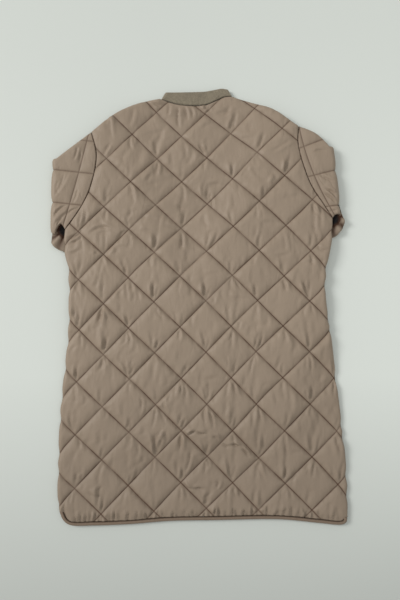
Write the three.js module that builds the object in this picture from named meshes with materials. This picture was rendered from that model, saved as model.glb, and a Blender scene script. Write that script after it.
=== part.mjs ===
// Long quilted jacket with a knitted band collar, laid flat with its back up and its sleeves
// folded under the body. Millimetres, +Z up, +Y towards the collar, the surface it lies on is z = 0.
// Left and right are the wearer's, which here are -X and +X.
import * as THREE from 'three';

// Cloth and seams
const SEAM_GAP = 0.3;
const FRONT_WALL = 4.5;
const STITCHED_WALL = 2.0;
const PUFFED_WALL = 6.4;
const BINDING_WIDTH = 7;
const EDGE_ROUNDING = 9;
const OUTLINE_STEP = 16;

// Body outline: one row for each place where the edge changes direction
const NECK = [
  { x: 70, y: 423 }, { x: 55, y: 421.5 }, { x: 38, y: 414 }, { x: 20, y: 406 }, { x: -3, y: 403 },
  { x: -42, y: 406 }, { x: -78, y: 418 },
];
const FRONT_NECK = [
  { x: 70, y: 423 }, { x: 60, y: 380 }, { x: 34, y: 347 }, { x: -3, y: 335 },
  { x: -40, y: 345 }, { x: -67, y: 377 }, { x: -78, y: 418 },
];
const SIDES = [
  {
    name: 'left',
    outward: -1,
    shoulder: [{ x: -78, y: 418 }, { x: -118, y: 409 }, { x: -163, y: 387 }, { x: -216, y: 344 }],
    armhole: [
      { x: -216, y: 344 }, { x: -205, y: 300 }, { x: -207, y: 270 },
      { x: -220, y: 219 }, { x: -243, y: 175 }, { x: -266, y: 143 },
    ],
    side: [
      { x: -266, y: 143 }, { x: -268, y: 110 }, { x: -259, y: 60 }, { x: -256.5, y: 0 },
      { x: -257, y: -60 }, { x: -262, y: -120 }, { x: -270.5, y: -205 }, { x: -274, y: -310 },
      { x: -273, y: -390 }, { x: -269, y: -413 },
    ],
    foldTop: { x: -286, y: 289 },
    foldBottom: { x: -286, y: 121 },
    crownSwell: { x: -2, y: -1 },
    quilt: { levelY: 259, levelSlope: -0.06, steepX: -243, steepSlope: 0.31 },
  },
  {
    name: 'right',
    outward: 1,
    shoulder: [{ x: 70, y: 423 }, { x: 108, y: 410 }, { x: 154, y: 393 }, { x: 206, y: 356 }],
    armhole: [
      { x: 206, y: 356 }, { x: 204, y: 325 }, { x: 212, y: 283 },
      { x: 229, y: 235 }, { x: 253, y: 196 }, { x: 272, y: 166 },
    ],
    side: [
      { x: 272, y: 166 }, { x: 270, y: 123 }, { x: 258.5, y: 62 }, { x: 256, y: 5 },
      { x: 265, y: -55 }, { x: 272, y: -120 }, { x: 280.5, y: -200 }, { x: 290.5, y: -300 },
      { x: 294, y: -380 }, { x: 292.5, y: -424 },
    ],
    foldTop: { x: 268, y: 314 },
    foldBottom: { x: 287.2, y: 149 },
    crownSwell: { x: 4, y: 6 },
    quilt: { levelY: 254, levelSlope: 0.25, steepX: 236, steepSlope: -0.35 },
  },
];
const HEM = [
  { x: -269, y: -413 }, { x: -262, y: -428 }, { x: -249, y: -437.6 }, { x: -199, y: -438 },
  { x: -131, y: -434.5 }, { x: -53, y: -428 }, { x: 34, y: -426.5 }, { x: 161, y: -425 },
  { x: 238, y: -433 }, { x: 281, y: -437 }, { x: 290, y: -433 }, { x: 292.5, y: -424 },
];
const FRONT_EDGE = { topX: -3, topY: 335, bottomX: 10, bottomY: -427, cornerRadius: 14 };

// Quilting: two crossing sets of stitch lines make squares stood on their corners. The lattice is
// counted in half diagonals across and along, and the hand-fed lines wander a little from it.
const QUILT = {
  acrossStart: 18.3, across: 51.36, alongStart: 395.8, along: 49.75,
  flareAcross: -0.0024, tilt: 0.0448, bow: -0.0064, flareAlong: 0.0086, driftUnit: 100,
};
// How far the lines drift from that lattice in mm, every 120 mm to the wearer's right and up
const QUILT_DRIFT = {
  step: 120, startX: -240, startY: -420,
  across: [
    [1.5, 0.2, -1.1, -1.7, 2.5], [0.2, 2, 1.3, -0.3, 3.6],
    [0.4, 3.5, 1.1, -6.6, -1], [4.8, -1.4, -1.7, -4.3, -0.9],
    [0.8, -3.4, -1.6, 1.5, -0.6], [-3.1, -1.4, 1.1, 4, 8.1],
    [1.2, 2.3, 0.9, -0.3, 2], [2, 0.2, -4.3, -6.1, -3],
  ],
  along: [
    [1.9, -3.9, 0, -3.3, 0.9], [0.8, -0.3, -1.5, -6.6, -1.6],
    [0.8, 1.6, -1.6, -1.6, -2.5], [0.4, 0.6, -0.3, -1, -2.4],
    [-2.2, 1.4, 2.8, 0.1, -6.7], [-7.7, -1.4, 1.5, 1, -1.8],
    [-7.4, -2.7, -2, 4.1, 1.4], [-4.3, 1.8, -8.5, -1.4, -3.2],
  ],
};
const QUILT_FULLNESS = 0.6;
const CELLS_OUTSIDE = 4;
const CELLS_INSIDE = 2;

// Sleeves: a flattened tube, turned back under the body about an upright fold
const SLEEVE = {
  lowerWall: 4.2, hollow: 0.8, puffTop: 10.35, stitchedWall: 2, foldPlay: 0.15, quiltPitch: 67,
  columns: 14, stubRows: 6, foldRows: 4, tailRows: 9, hollowInset: 0.04,
  tailLength: 470, headingStart: 45, headingEnd: 85, foldReach: 130,
  upperHalfWidth: 65, cuffHalfWidth: 56, endWall: 0.8,
};
const SLEEVE_HEIGHT = SLEEVE.puffTop + SLEEVE.foldPlay;
const BODY_LIFT = SLEEVE.puffTop + SEAM_GAP;
const LIFT_MARGIN = 40;
const LIFT_RAMP = 95;

// Collar: a knitted band that goes round the neck and is open at the centre front
const COLLAR = {
  thickness: 3.4, ribDepth: 0.5, neckPoints: 28, backLevel: 6.6, frontLevel: 2.2,
  frontColumns: 9, turnSteps: 3, topRounding: 2.2,
};
const COLLAR_TOP = [
  { x: 62, y: 437 }, { x: 50, y: 439.4 }, { x: 30, y: 435 }, { x: -10, y: 432.5 }, { x: -45, y: 431 },
  { x: -70, y: 430 },
];
const COLLAR_FRONT_TOP = [
  { x: 62, y: 437 }, { x: 42, y: 397 }, { x: 21, y: 375 }, { x: -3, y: 369 },
  { x: -28, y: 374 }, { x: -50, y: 394 }, { x: -70, y: 430 },
];

const COLOURS = { quilted: 0x8c7d6e, knitted: 0x807768, binding: 0x85766a };

// Plain geometry in plan

const lerp = (a, b, t) => a + (b - a) * t;
const clamp01 = (t) => Math.min(1, Math.max(0, t));
const smooth = (t) => clamp01(t) ** 2 * (3 - 2 * clamp01(t));
const mix = (a, b, t) => ({ x: lerp(a.x, b.x, t), y: lerp(a.y, b.y, t) });

function curveThrough(rows, segments) {
  const curve = new THREE.CatmullRomCurve3(rows.map(({ x, y }) => new THREE.Vector3(x, y, 0)));
  curve.curveType = 'centripetal';
  const count = segments ?? Math.max(1, Math.round(curve.getLength() / OUTLINE_STEP));
  const points = curve.getSpacedPoints(count).map(({ x, y }) => ({ x, y }));
  points[0] = { x: rows[0].x, y: rows[0].y };
  points[count] = { x: rows.at(-1).x, y: rows.at(-1).y };
  return points;
}

// Moves each point of a line to its left by a distance; a closed line wraps round
function offset(points, distance, closed) {
  const n = points.length;
  return points.map((point, k) => {
    const before = points[closed ? (k + n - 1) % n : Math.max(0, k - 1)];
    const after = points[closed ? (k + 1) % n : Math.min(n - 1, k + 1)];
    const lead = unit(before, point) ?? unit(point, after);
    const trail = unit(point, after) ?? lead;
    const along = { x: lead.x + trail.x, y: lead.y + trail.y };
    const length = Math.hypot(along.x, along.y);
    return { x: point.x - (along.y / length) * distance, y: point.y + (along.x / length) * distance };
  });
}

function unit(a, b) {
  const length = Math.hypot(b.x - a.x, b.y - a.y);
  return length > 0 ? { x: (b.x - a.x) / length, y: (b.y - a.y) / length } : null;
}

function isInside(point, loop) {
  let inside = false;
  for (let k = 0, m = loop.length - 1; k < loop.length; m = k++) {
    const a = loop[k];
    const b = loop[m];
    const crosses = a.y > point.y !== b.y > point.y;
    if (crosses && point.x < lerp(a.x, b.x, (point.y - a.y) / (b.y - a.y))) inside = !inside;
  }
  return inside;
}

function distanceToLoop(point, loop) {
  let nearest = Infinity;
  for (let k = 0, m = loop.length - 1; k < loop.length; m = k++) {
    const run = { x: loop[k].x - loop[m].x, y: loop[k].y - loop[m].y };
    const away = { x: point.x - loop[m].x, y: point.y - loop[m].y };
    const t = clamp01((run.x * away.x + run.y * away.y) / (run.x ** 2 + run.y ** 2));
    nearest = Math.min(nearest, Math.hypot(away.x - run.x * t, away.y - run.y * t));
  }
  return nearest;
}

// Quilting

function driftAt(point, table) {
  const { step, startX, startY } = QUILT_DRIFT;
  const across = Math.min(table[0].length - 1.001, Math.max(0, (point.x - startX) / step));
  const along = Math.min(table.length - 1.001, Math.max(0, (point.y - startY) / step));
  const column = Math.floor(across);
  const row = Math.floor(along);
  const low = lerp(table[row][column], table[row][column + 1], across - column);
  const high = lerp(table[row + 1][column], table[row + 1][column + 1], across - column);
  return lerp(low, high, along - row);
}

function quiltAt(point) {
  const x = point.x - driftAt(point, QUILT_DRIFT.across);
  const y = point.y - driftAt(point, QUILT_DRIFT.along);
  const u = x / QUILT.driftUnit;
  const v = y / QUILT.driftUnit;
  const i = (x - QUILT.acrossStart) / QUILT.across + QUILT.flareAcross * u * u * v;
  const drift = QUILT.tilt * u + QUILT.bow * v * v + QUILT.flareAlong * u * u * v;
  const j = (QUILT.alongStart - y) / QUILT.along + drift;
  return { p: (i + j) / 2, q: (i - j) / 2 };
}

function quiltPoint(p, q) {
  const point = {
    x: QUILT.acrossStart + (p + q) * QUILT.across,
    y: QUILT.alongStart - (p - q) * QUILT.along,
  };
  for (let pass = 0; pass < 9; pass++) {
    const found = quiltAt(point);
    point.x += (p - found.p + q - found.q) * QUILT.across;
    point.y -= (p - found.p - q + found.q) * QUILT.along;
  }
  return point;
}

// Points of the quilt lattice inside a loop, with so many cells along the side of each square
function latticeInside(loop, cells, clearance) {
  const corners = loop.map(quiltAt);
  const low = (key) => Math.floor(Math.min(...corners.map((c) => c[key]))) - 1;
  const high = (key) => Math.ceil(Math.max(...corners.map((c) => c[key]))) + 1;
  const points = [];
  for (let a = low('p') * cells; a <= high('p') * cells; a++) {
    for (let b = low('q') * cells; b <= high('q') * cells; b++) {
      const point = quiltPoint(a / cells, b / cells);
      if (isInside(point, loop) && distanceToLoop(point, loop) > clearance) points.push(point);
    }
  }
  return points;
}

// How full the wadding stands, from 0 on a stitch line to 1 in the middle of a square
function fullness(p, q) {
  return Math.abs(Math.sin(Math.PI * p) * Math.sin(Math.PI * q)) ** QUILT_FULLNESS;
}

// Rises from 0 at a seam to 1 where the cloth is at its full thickness
function seamRounding(distance) {
  return Math.sqrt(1 - (1 - clamp01(distance / EDGE_ROUNDING)) ** 2);
}

// Triangles between scattered points, so that no point lies inside another triangle's circle
function triangulate(points) {
  const far = 1e5;
  const all = [...points, { x: -far, y: -far }, { x: far, y: -far }, { x: 0, y: far }];
  const n = points.length;
  let triangles = [circled(all, n, n + 1, n + 2)];
  for (let k = 0; k < n; k++) {
    const rim = new Map();
    const kept = [];
    for (const triangle of triangles) {
      if (Math.hypot(all[k].x - triangle.x, all[k].y - triangle.y) >= triangle.radius) {
        kept.push(triangle);
        continue;
      }
      triangle.corners.forEach((a, side) => {
        const b = triangle.corners[(side + 1) % 3];
        if (!rim.delete(`${b},${a}`)) rim.set(`${a},${b}`, [a, b]);
      });
    }
    for (const [a, b] of rim.values()) kept.push(circled(all, a, b, k));
    triangles = kept;
  }
  return triangles.map(({ corners }) => corners).filter((corners) => Math.max(...corners) < n);
}

function circled(points, a, b, c) {
  const [A, B, C] = [points[a], points[b], points[c]];
  const bx = B.x - A.x;
  const by = B.y - A.y;
  const cx = C.x - A.x;
  const cy = C.y - A.y;
  const d = 2 * (bx * cy - by * cx);
  const x = (cy * (bx * bx + by * by) - by * (cx * cx + cy * cy)) / d;
  const y = (bx * (cx * cx + cy * cy) - cx * (bx * bx + by * by)) / d;
  return { corners: [a, b, c], x: A.x + x, y: A.y + y, radius: Math.hypot(x, y) };
}

// One face of a panel: the outline, rings inside it and loose points, joined by triangles
function panelFace(outline, insets, inner) {
  const rings = insets.map((distance) => offset(outline, distance, true));
  const points = [...outline, ...rings.flat(), ...inner];
  const triangles = triangulate(points).filter((corners) => {
    const [a, b, c] = corners.map((k) => points[k]);
    return isInside({ x: (a.x + b.x + c.x) / 3, y: (a.y + b.y + c.y) / 3 }, outline);
  });
  return { points, triangles };
}

// A panel: its outer and inner faces share the outline, so the wall closes along every edge
function panelGeometry(outline, outer, inner) {
  const positions = [];
  for (const { x, y } of outer.points) positions.push(x, y, outer.height({ x, y }));
  for (const { x, y } of inner.points.slice(outline.length)) positions.push(x, y, inner.height({ x, y }));
  const shift = outer.points.length - outline.length;
  const innerIndex = (k) => (k < outline.length ? k : k + shift);
  const index = outer.triangles.flat();
  for (const [a, b, c] of inner.triangles) index.push(innerIndex(a), innerIndex(c), innerIndex(b));
  return indexedGeometry(positions, index);
}

// Sections in a row, each a closed ring of points, joined and closed at both ends
function loftGeometry(sections) {
  const size = sections[0].length;
  const positions = sections.flat().flatMap(({ x, y, z }) => [x, y, z]);
  const index = [];
  for (let row = 0; row + 1 < sections.length; row++) joinRings(index, row * size, (row + 1) * size, size);
  const last = (sections.length - 1) * size;
  for (let k = 1; k + 1 < size; k++) index.push(0, k, k + 1, last, last + k + 1, last + k);
  return indexedGeometry(positions, index);
}

// A tube wall: outer and inner rings at each section, joined to each other at both open ends
function tubeGeometry(outerRings, innerRings) {
  const size = outerRings[0].length;
  const inner = outerRings.length * size;
  const last = (outerRings.length - 1) * size;
  const positions = [...outerRings, ...innerRings].flat().flatMap(({ x, y, z }) => [x, y, z]);
  const index = [];
  for (let row = 0; row + 1 < outerRings.length; row++) {
    joinRings(index, row * size, (row + 1) * size, size);
    joinRings(index, inner + (row + 1) * size, inner + row * size, size);
  }
  joinRings(index, inner, 0, size);
  joinRings(index, last, inner + last, size);
  return indexedGeometry(positions, index);
}

function joinRings(index, first, second, size) {
  for (let k = 0; k < size; k++) {
    const next = (k + 1) % size;
    index.push(first + k, second + k, second + next, first + k, second + next, first + next);
  }
}

function indexedGeometry(positions, index) {
  const geometry = new THREE.BufferGeometry();
  geometry.setAttribute('position', new THREE.Float32BufferAttribute(positions, 3));
  geometry.setIndex(signedVolume(positions, index) < 0 ? flipped(index) : index);
  geometry.computeVertexNormals();
  return geometry;
}

function signedVolume(positions, index) {
  const corner = (k) => new THREE.Vector3().fromArray(positions, index[k] * 3);
  let volume = 0;
  for (let k = 0; k < index.length; k += 3) {
    volume += corner(k).dot(corner(k + 1).cross(corner(k + 2))) / 6;
  }
  return volume;
}

function flipped(index) {
  return index.map((_, k) => index[k % 3 === 0 ? k : k % 3 === 1 ? k + 1 : k - 1]);
}

// Sleeve in plan

// The folded-under part: a gently bent centre line with the sleeve's width on either side of it
function tailEdges(side, along) {
  const start = mix(side.foldTop, side.foldBottom, 0.5);
  const degree = Math.PI / 180;
  const turn = ((SLEEVE.headingEnd - SLEEVE.headingStart) * degree) / SLEEVE.tailLength;
  const first = SLEEVE.headingStart * degree;
  const heading = first + turn * along;
  const centre = {
    x: start.x - (side.outward * (Math.sin(heading) - Math.sin(first))) / turn,
    y: start.y + (Math.cos(heading) - Math.cos(first)) / turn,
  };
  const across = { x: -side.outward * Math.sin(heading), y: Math.cos(heading) };
  const half = lerp(SLEEVE.upperHalfWidth, SLEEVE.cuffHalfWidth, along / SLEEVE.tailLength);
  return {
    over: { x: centre.x + across.x * half, y: centre.y + across.y * half },
    under: { x: centre.x - across.x * half, y: centre.y - across.y * half },
  };
}

// A line across the sleeve, from its shoulder side to its underarm side, so far along the tail
function tailLine(side, along) {
  const { over, under } = tailEdges(side, along);
  const atFold = tailEdges(side, 0);
  const pull = 1 - smooth(along / SLEEVE.foldReach);
  return {
    over: {
      x: over.x + (side.foldTop.x - atFold.over.x) * pull,
      y: over.y + (side.foldTop.y - atFold.over.y) * pull,
    },
    under: {
      x: under.x + (side.foldBottom.x - atFold.under.x) * pull,
      y: under.y + (side.foldBottom.y - atFold.under.y) * pull,
    },
  };
}

function tailDistances() {
  return Array.from({ length: SLEEVE.tailRows }, (_, k) => ((k + 1) * SLEEVE.tailLength) / SLEEVE.tailRows);
}

// The body is lifted over each folded sleeve and runs down to the surface beyond it
function liftedArea(side) {
  const lines = tailDistances().map((along) => tailLine(side, along));
  const overEdge = lines.map(({ over }) => over).slice(2).reverse();
  return [side.armhole[0], side.foldTop, side.foldBottom, ...lines.map(({ under }) => under), ...overEdge];
}

const LIFTED_AREAS = SIDES.map(liftedArea);

function liftAt(point) {
  let settled = 1;
  for (const area of LIFTED_AREAS) {
    const away = isInside(point, area) ? 0 : distanceToLoop(point, area);
    settled *= smooth((away - LIFT_MARGIN) / LIFT_RAMP);
  }
  return BODY_LIFT * (1 - settled);
}

// Outlines of the body panels

const hemLine = curveThrough(HEM);
const neckLine = curveThrough(NECK, COLLAR.neckPoints);
const frontNeckLine = curveThrough(FRONT_NECK, 2 * COLLAR.frontColumns);
const armholes = SIDES.map((side) => curveThrough(side.armhole, SLEEVE.columns));

function outerEdge(k) {
  const { shoulder, side } = SIDES[k];
  const sideSeam = curveThrough(side);
  sideSeam.push(raised(sideSeam.pop()));
  return [...curveThrough(shoulder).slice(0, -1), ...armholes[k].slice(0, -1), ...sideSeam];
}

// Keeps a seam's gap above the end of a binding
function raised({ x, y }) {
  return { x, y: y + SEAM_GAP };
}

function backOutline() {
  const hem = offset(hemLine, BINDING_WIDTH + SEAM_GAP, false);
  hem[0] = raised(hem[0]);
  hem.push(raised(hem.pop()));
  return [...outerEdge(0), ...hem, ...outerEdge(1).reverse(), ...neckLine.slice(1, -1)];
}

// The bound edge of one front: the hem from the side seam, the corner and the centre-front edge
function frontBoundEdge(k) {
  const { topX, topY, bottomX, bottomY, cornerRadius } = FRONT_EDGE;
  const outward = SIDES[k].outward;
  const edgeX = (y) => lerp(bottomX, topX, (y - bottomY) / (topY - bottomY)) + (outward * SEAM_GAP) / 2;
  const fromSide = outward < 0 ? hemLine : [...hemLine].reverse();
  const hem = fromSide.filter(({ x }) => (x - bottomX) * outward > cornerRadius + BINDING_WIDTH);
  const cornerX = edgeX(bottomY) + outward * cornerRadius;
  const corner = [0, 0.25, 0.5, 0.75, 1].map((t) => ({
    x: cornerX - outward * cornerRadius * Math.sin((t * Math.PI) / 2),
    y: bottomY + cornerRadius * (1 - Math.cos((t * Math.PI) / 2)),
  }));
  const rise = topY - SEAM_GAP - corner.at(-1).y;
  const steps = Math.round(rise / OUTLINE_STEP);
  const upright = Array.from({ length: steps }, (_, step) => {
    const y = corner.at(-1).y + ((step + 1) * rise) / steps;
    return { x: edgeX(y), y };
  });
  return [...hem, ...corner, ...upright];
}

function frontOutline(k) {
  const outward = SIDES[k].outward;
  const bound = offset(frontBoundEdge(k), -outward * (BINDING_WIDTH + SEAM_GAP), false);
  bound[0] = raised(bound[0]);
  const inner = bound.at(-1);
  const neckline = frontNeckLine.filter(({ x }) => (x - inner.x) * outward > 5);
  const fromCentre = outward < 0 ? neckline : neckline.reverse();
  const loop = [...outerEdge(k), ...bound, ...fromCentre.slice(0, -1)];
  return outward < 0 ? loop : loop.reverse();
}

// Body panels

function backGeometry() {
  const outline = backOutline();
  const level = (point) => liftAt(point) + FRONT_WALL + SEAM_GAP;
  const outer = panelFace(outline, [2, 7], latticeInside(outline, CELLS_OUTSIDE, 12));
  outer.height = (point) => {
    const { p, q } = quiltAt(point);
    const wall = lerp(STITCHED_WALL, PUFFED_WALL, fullness(p, q));
    return level(point) + wall * seamRounding(distanceToLoop(point, outline));
  };
  const fronts = [frontOutline(0), frontOutline(1)];
  const seams = fronts.flat().filter((point) => distanceToLoop(point, outline) > OUTLINE_STEP / 2);
  const inner = panelFace(outline, [], [...seams, ...fronts.flatMap(insideOfFront)]);
  inner.height = level;
  return panelGeometry(outline, outer, inner);
}

function insideOfFront(outline) {
  return latticeInside(outline, CELLS_INSIDE, OUTLINE_STEP);
}

// The outer face of a front lies flat on the surface and rounds up to its seams
function frontGeometry(k) {
  const outline = frontOutline(k);
  const inner = panelFace(outline, [], insideOfFront(outline));
  inner.height = (point) => liftAt(point) + FRONT_WALL;
  const outer = panelFace(outline, [3, EDGE_ROUNDING], latticeInside(outline, CELLS_INSIDE, 20));
  outer.height = (point) => {
    const rounding = seamRounding(distanceToLoop(point, outline) + 0.01);
    return liftAt(point) + FRONT_WALL * (1 - rounding);
  };
  return panelGeometry(outline, inner, outer);
}

// Sleeves

// Outer height of the upper layer above the fold side of the flattened sleeve
function sleeveTop(side, point, fromSeam) {
  const { levelY, levelSlope, steepX, steepSlope } = side.quilt;
  const p = (point.y - levelY - levelSlope * (point.x - steepX)) / SLEEVE.quiltPitch;
  const q = (point.x - steepX - steepSlope * (point.y - levelY)) / SLEEVE.quiltPitch;
  const inside = SLEEVE.lowerWall + SLEEVE.hollow;
  const wall = lerp(SLEEVE.stitchedWall, SLEEVE.puffTop - inside, fullness(p, q));
  return inside + Math.max(SLEEVE.endWall, wall * seamRounding(fromSeam));
}

// Rows along the sleeve: a line across it, how far it has turned about the fold, its top height
function sleeveRows(side, seam) {
  const columns = seam.map((_, k) => k / SLEEVE.columns);
  const fold = columns.map((t) => mix(side.foldTop, side.foldBottom, t));
  const rows = [];
  for (let row = 0; row <= SLEEVE.stubRows; row++) {
    const swell = Math.sin((Math.PI * row) / SLEEVE.stubRows);
    const line = seam.map((point, k) => {
      const { x, y } = mix(point, fold[k], row / SLEEVE.stubRows);
      const share = swell * (1 - columns[k]) ** 3;
      return { x: x + side.crownSwell.x * share, y: y + side.crownSwell.y * share };
    });
    const tops = line.map((point, k) => {
      const fromSeam = Math.hypot(point.x - seam[k].x, point.y - seam[k].y);
      return lerp(sleeveTop(side, point, fromSeam), SLEEVE.puffTop, (row / SLEEVE.stubRows) ** 6);
    });
    rows.push({ line, turn: 0, tops });
  }
  const flat = columns.map(() => SLEEVE.puffTop);
  for (let row = 1; row <= SLEEVE.foldRows; row++) {
    rows.push({ line: fold, turn: (row * Math.PI) / SLEEVE.foldRows, tops: flat });
  }
  for (const along of tailDistances()) {
    const { over, under } = tailLine(side, along);
    rows.push({ line: columns.map((t) => mix(over, under, t)), turn: Math.PI, tops: flat });
  }
  return rows;
}

function sleeveGeometry(k) {
  const side = SIDES[k];
  const seam = offset(armholes[k], side.outward * SEAM_GAP, false);
  const foldRun = unit(side.foldBottom, side.foldTop);
  const outward = { x: side.outward * foldRun.y, y: -side.outward * foldRun.x };
  const middle = SLEEVE.lowerWall + SLEEVE.hollow / 2;
  const place = (point, height, turn) => {
    const reach = (height + SLEEVE.foldPlay) * Math.sin(turn);
    return {
      x: point.x + outward.x * reach,
      y: point.y + outward.y * reach,
      z: SLEEVE_HEIGHT + (height + SLEEVE.foldPlay) * Math.cos(turn),
    };
  };
  const outerRings = [];
  const innerRings = [];
  for (const { line, turn, tops } of sleeveRows(side, seam)) {
    const last = line.length - 1;
    const inset = line.map((_, n) => {
      const t = lerp(SLEEVE.hollowInset, 1 - SLEEVE.hollowInset, n / last);
      const cell = Math.min(last - 1, Math.floor(t * last));
      return mix(line[cell], line[cell + 1], t * last - cell);
    });
    const isEdge = (n) => n === 0 || n === last;
    const upper = line.map((point, n) => place(point, isEdge(n) ? middle : tops[n], turn));
    const lower = line.map((point) => place(point, 0, turn)).slice(1, -1).reverse();
    const hollowTop = SLEEVE.lowerWall + SLEEVE.hollow;
    const innerUpper = inset.map((point, n) => place(point, isEdge(n) ? middle : hollowTop, turn));
    const innerLower = inset.map((point) => place(point, SLEEVE.lowerWall, turn)).slice(1, -1).reverse();
    outerRings.push([...upper, ...lower]);
    innerRings.push([...innerUpper, ...innerLower]);
  }
  return tubeGeometry(outerRings, innerRings);
}

// Collar

// Rows round the neck: seam point, top point, height and the way that the outside faces
function collarRows() {
  const { neckPoints, frontColumns, turnSteps, backLevel, frontLevel } = COLLAR;
  const back = zipCurves(NECK, COLLAR_TOP, 2 * neckPoints);
  const front = zipCurves(FRONT_NECK, COLLAR_FRONT_TOP, 2 * frontColumns);
  const middle = (backLevel + frontLevel) / 2;
  const radius = (backLevel - frontLevel) / 2;
  const turn = (row, outward) => Array.from({ length: turnSteps }, (_, k) => {
    const angle = ((k + 1) * Math.PI) / (turnSteps + 1);
    const reach = outward * radius * Math.sin(angle);
    return {
      seam: { x: row.seam.x + reach, y: row.seam.y },
      top: { x: row.top.x + reach, y: row.top.y },
      level: middle + radius * Math.cos(angle),
      face: { x: outward * Math.sin(angle), z: Math.cos(angle) },
      rib: 0,
    };
  });
  const flat = (rows, level, facing, ribbed) => rows.map((row, k) => (
    { ...row, level, face: { x: 0, z: facing }, rib: ribbed && k % 2 ? COLLAR.ribDepth : 0 }));
  const rightFront = front.slice(0, frontColumns + 1).reverse();
  const leftFront = front.slice(frontColumns).reverse();
  rightFront[0] = shifted(rightFront[0], SEAM_GAP);
  leftFront[leftFront.length - 1] = shifted(leftFront.at(-1), -SEAM_GAP);
  return [
    ...flat(rightFront, frontLevel, -1, false),
    ...turn(back[0], 1).reverse(),
    ...flat(back, backLevel, 1, true),
    ...turn(back.at(-1), -1),
    ...flat(leftFront, frontLevel, -1, false),
  ];
}

function shifted(row, x) {
  return { seam: { x: row.seam.x + x, y: row.seam.y }, top: { x: row.top.x + x, y: row.top.y } };
}

function zipCurves(seamRows, topRows, steps) {
  const seam = offset(curveThrough(seamRows, steps), -SEAM_GAP, false);
  const top = curveThrough(topRows, steps);
  return seam.map((point, k) => ({ seam: point, top: top[k] }));
}

function collarGeometry() {
  const half = COLLAR.thickness / 2;
  const sections = collarRows().map(({ seam, top, level, face, rib }) => {
    const height = Math.hypot(top.x - seam.x, top.y - seam.y);
    const rounded = 1 - COLLAR.topRounding / height;
    const profile = [
      { t: 0, out: half }, { t: 0.5, out: half + rib }, { t: rounded, out: half }, { t: 1, out: half / 3 },
      { t: 1, out: -half / 3 }, { t: rounded, out: -half }, { t: 0.5, out: -half }, { t: 0, out: -half },
    ];
    return profile.map(({ t, out }) => {
      const point = mix(seam, top, t);
      return { x: point.x + face.x * out, y: point.y, z: level + face.z * out };
    });
  });
  return loftGeometry(sections);
}

// Bindings: a narrow folded strip along a bound edge, seen in section from the edge inwards

const BACK_BINDING_SECTION = [
  { inward: 0, z: 0 }, { inward: BINDING_WIDTH, z: 0 }, { inward: BINDING_WIDTH, z: 3 },
  { inward: 5, z: 4.1 }, { inward: 2, z: 3.6 }, { inward: 0.4, z: 2 },
];
const FRONT_BINDING_SECTION = [
  { inward: 0, z: 4.2 }, { inward: 0.4, z: 1.8 }, { inward: 2, z: 0 }, { inward: 6, z: 0 },
  { inward: BINDING_WIDTH, z: 1.2 }, { inward: BINDING_WIDTH, z: 4.2 },
];

function bindingGeometry(path, inwardSide, section, level) {
  const lines = section.map(({ inward }) => offset(path, inwardSide * inward, false));
  const sections = path.map((_, k) => section.map(({ z }, n) => {
    const point = lines[n][k];
    return { x: point.x, y: point.y, z: liftAt(point) + level + z };
  }));
  return loftGeometry(sections);
}

// The jacket

const jacket = new THREE.Group();
jacket.name = 'quilted_jacket';

function add(name, geometry, color, roughness) {
  const mesh = new THREE.Mesh(geometry, new THREE.MeshStandardMaterial({ color, roughness, metalness: 0 }));
  mesh.name = name;
  jacket.add(mesh);
}

add('back', backGeometry(), COLOURS.quilted, 0.55);
SIDES.forEach(({ name, outward }, k) => {
  add(`front_${name}`, frontGeometry(k), COLOURS.quilted, 0.55);
  add(`sleeve_${name}`, sleeveGeometry(k), COLOURS.quilted, 0.55);
  const edge = bindingGeometry(frontBoundEdge(k), -outward, FRONT_BINDING_SECTION, 0);
  add(`front_binding_${name}`, edge, COLOURS.binding, 0.6);
});
add('collar', collarGeometry(), COLOURS.knitted, 0.9);
add('hem_binding_back', bindingGeometry(hemLine, 1, BACK_BINDING_SECTION, FRONT_WALL + SEAM_GAP),
  COLOURS.binding, 0.6);

export default jacket;
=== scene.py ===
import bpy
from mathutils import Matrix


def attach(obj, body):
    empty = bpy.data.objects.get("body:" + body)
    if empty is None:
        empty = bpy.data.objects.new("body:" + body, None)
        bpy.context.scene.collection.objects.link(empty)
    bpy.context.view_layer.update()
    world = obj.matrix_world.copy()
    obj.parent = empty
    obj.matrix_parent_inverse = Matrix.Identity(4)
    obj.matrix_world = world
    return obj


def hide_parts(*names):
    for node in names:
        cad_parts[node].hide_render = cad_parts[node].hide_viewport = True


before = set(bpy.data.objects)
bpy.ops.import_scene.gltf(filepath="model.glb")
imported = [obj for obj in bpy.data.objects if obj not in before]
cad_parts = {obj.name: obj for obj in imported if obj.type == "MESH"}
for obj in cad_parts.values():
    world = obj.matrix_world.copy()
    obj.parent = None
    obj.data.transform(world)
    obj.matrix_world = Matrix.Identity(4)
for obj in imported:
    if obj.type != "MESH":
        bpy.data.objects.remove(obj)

"""A long quilted jacket with a rib-knit band collar, laid flat with its back up.

Sizes are in millimetres, as the pattern maker gives them, and become metres when a mesh is made.
Left and right are the wearer's, which here are -X and +X; +Y runs from the hem to the collar.
"""
import logging
import math
from dataclasses import dataclass, field
from enum import Enum
from typing import Callable

import bmesh
import bpy
import numpy as np
from mathutils import Matrix, Vector
from mathutils.kdtree import KDTree

Points = np.ndarray
Values = np.ndarray

LOG = logging.getLogger("quilted_jacket")
METRES = 0.001
SEAM_GAP = 0.3
FRONT_WALL = 4.5
STITCHED_WALL = 2.0
BINDING_WIDTH = 7.0
INSIDE_LEVEL = FRONT_WALL + SEAM_GAP


# Plan geometry

def smooth(amount: Values) -> Values:
    """Ease a value from 0 to 1, flat at both ends and held outside them."""
    held = np.clip(amount, 0.0, 1.0)
    return held * held * (3.0 - 2.0 * held)


def mix(first: Values, second: Values, share: Values) -> Values:
    """Blend two values or points by a share."""
    return first + (second - first) * share


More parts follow.
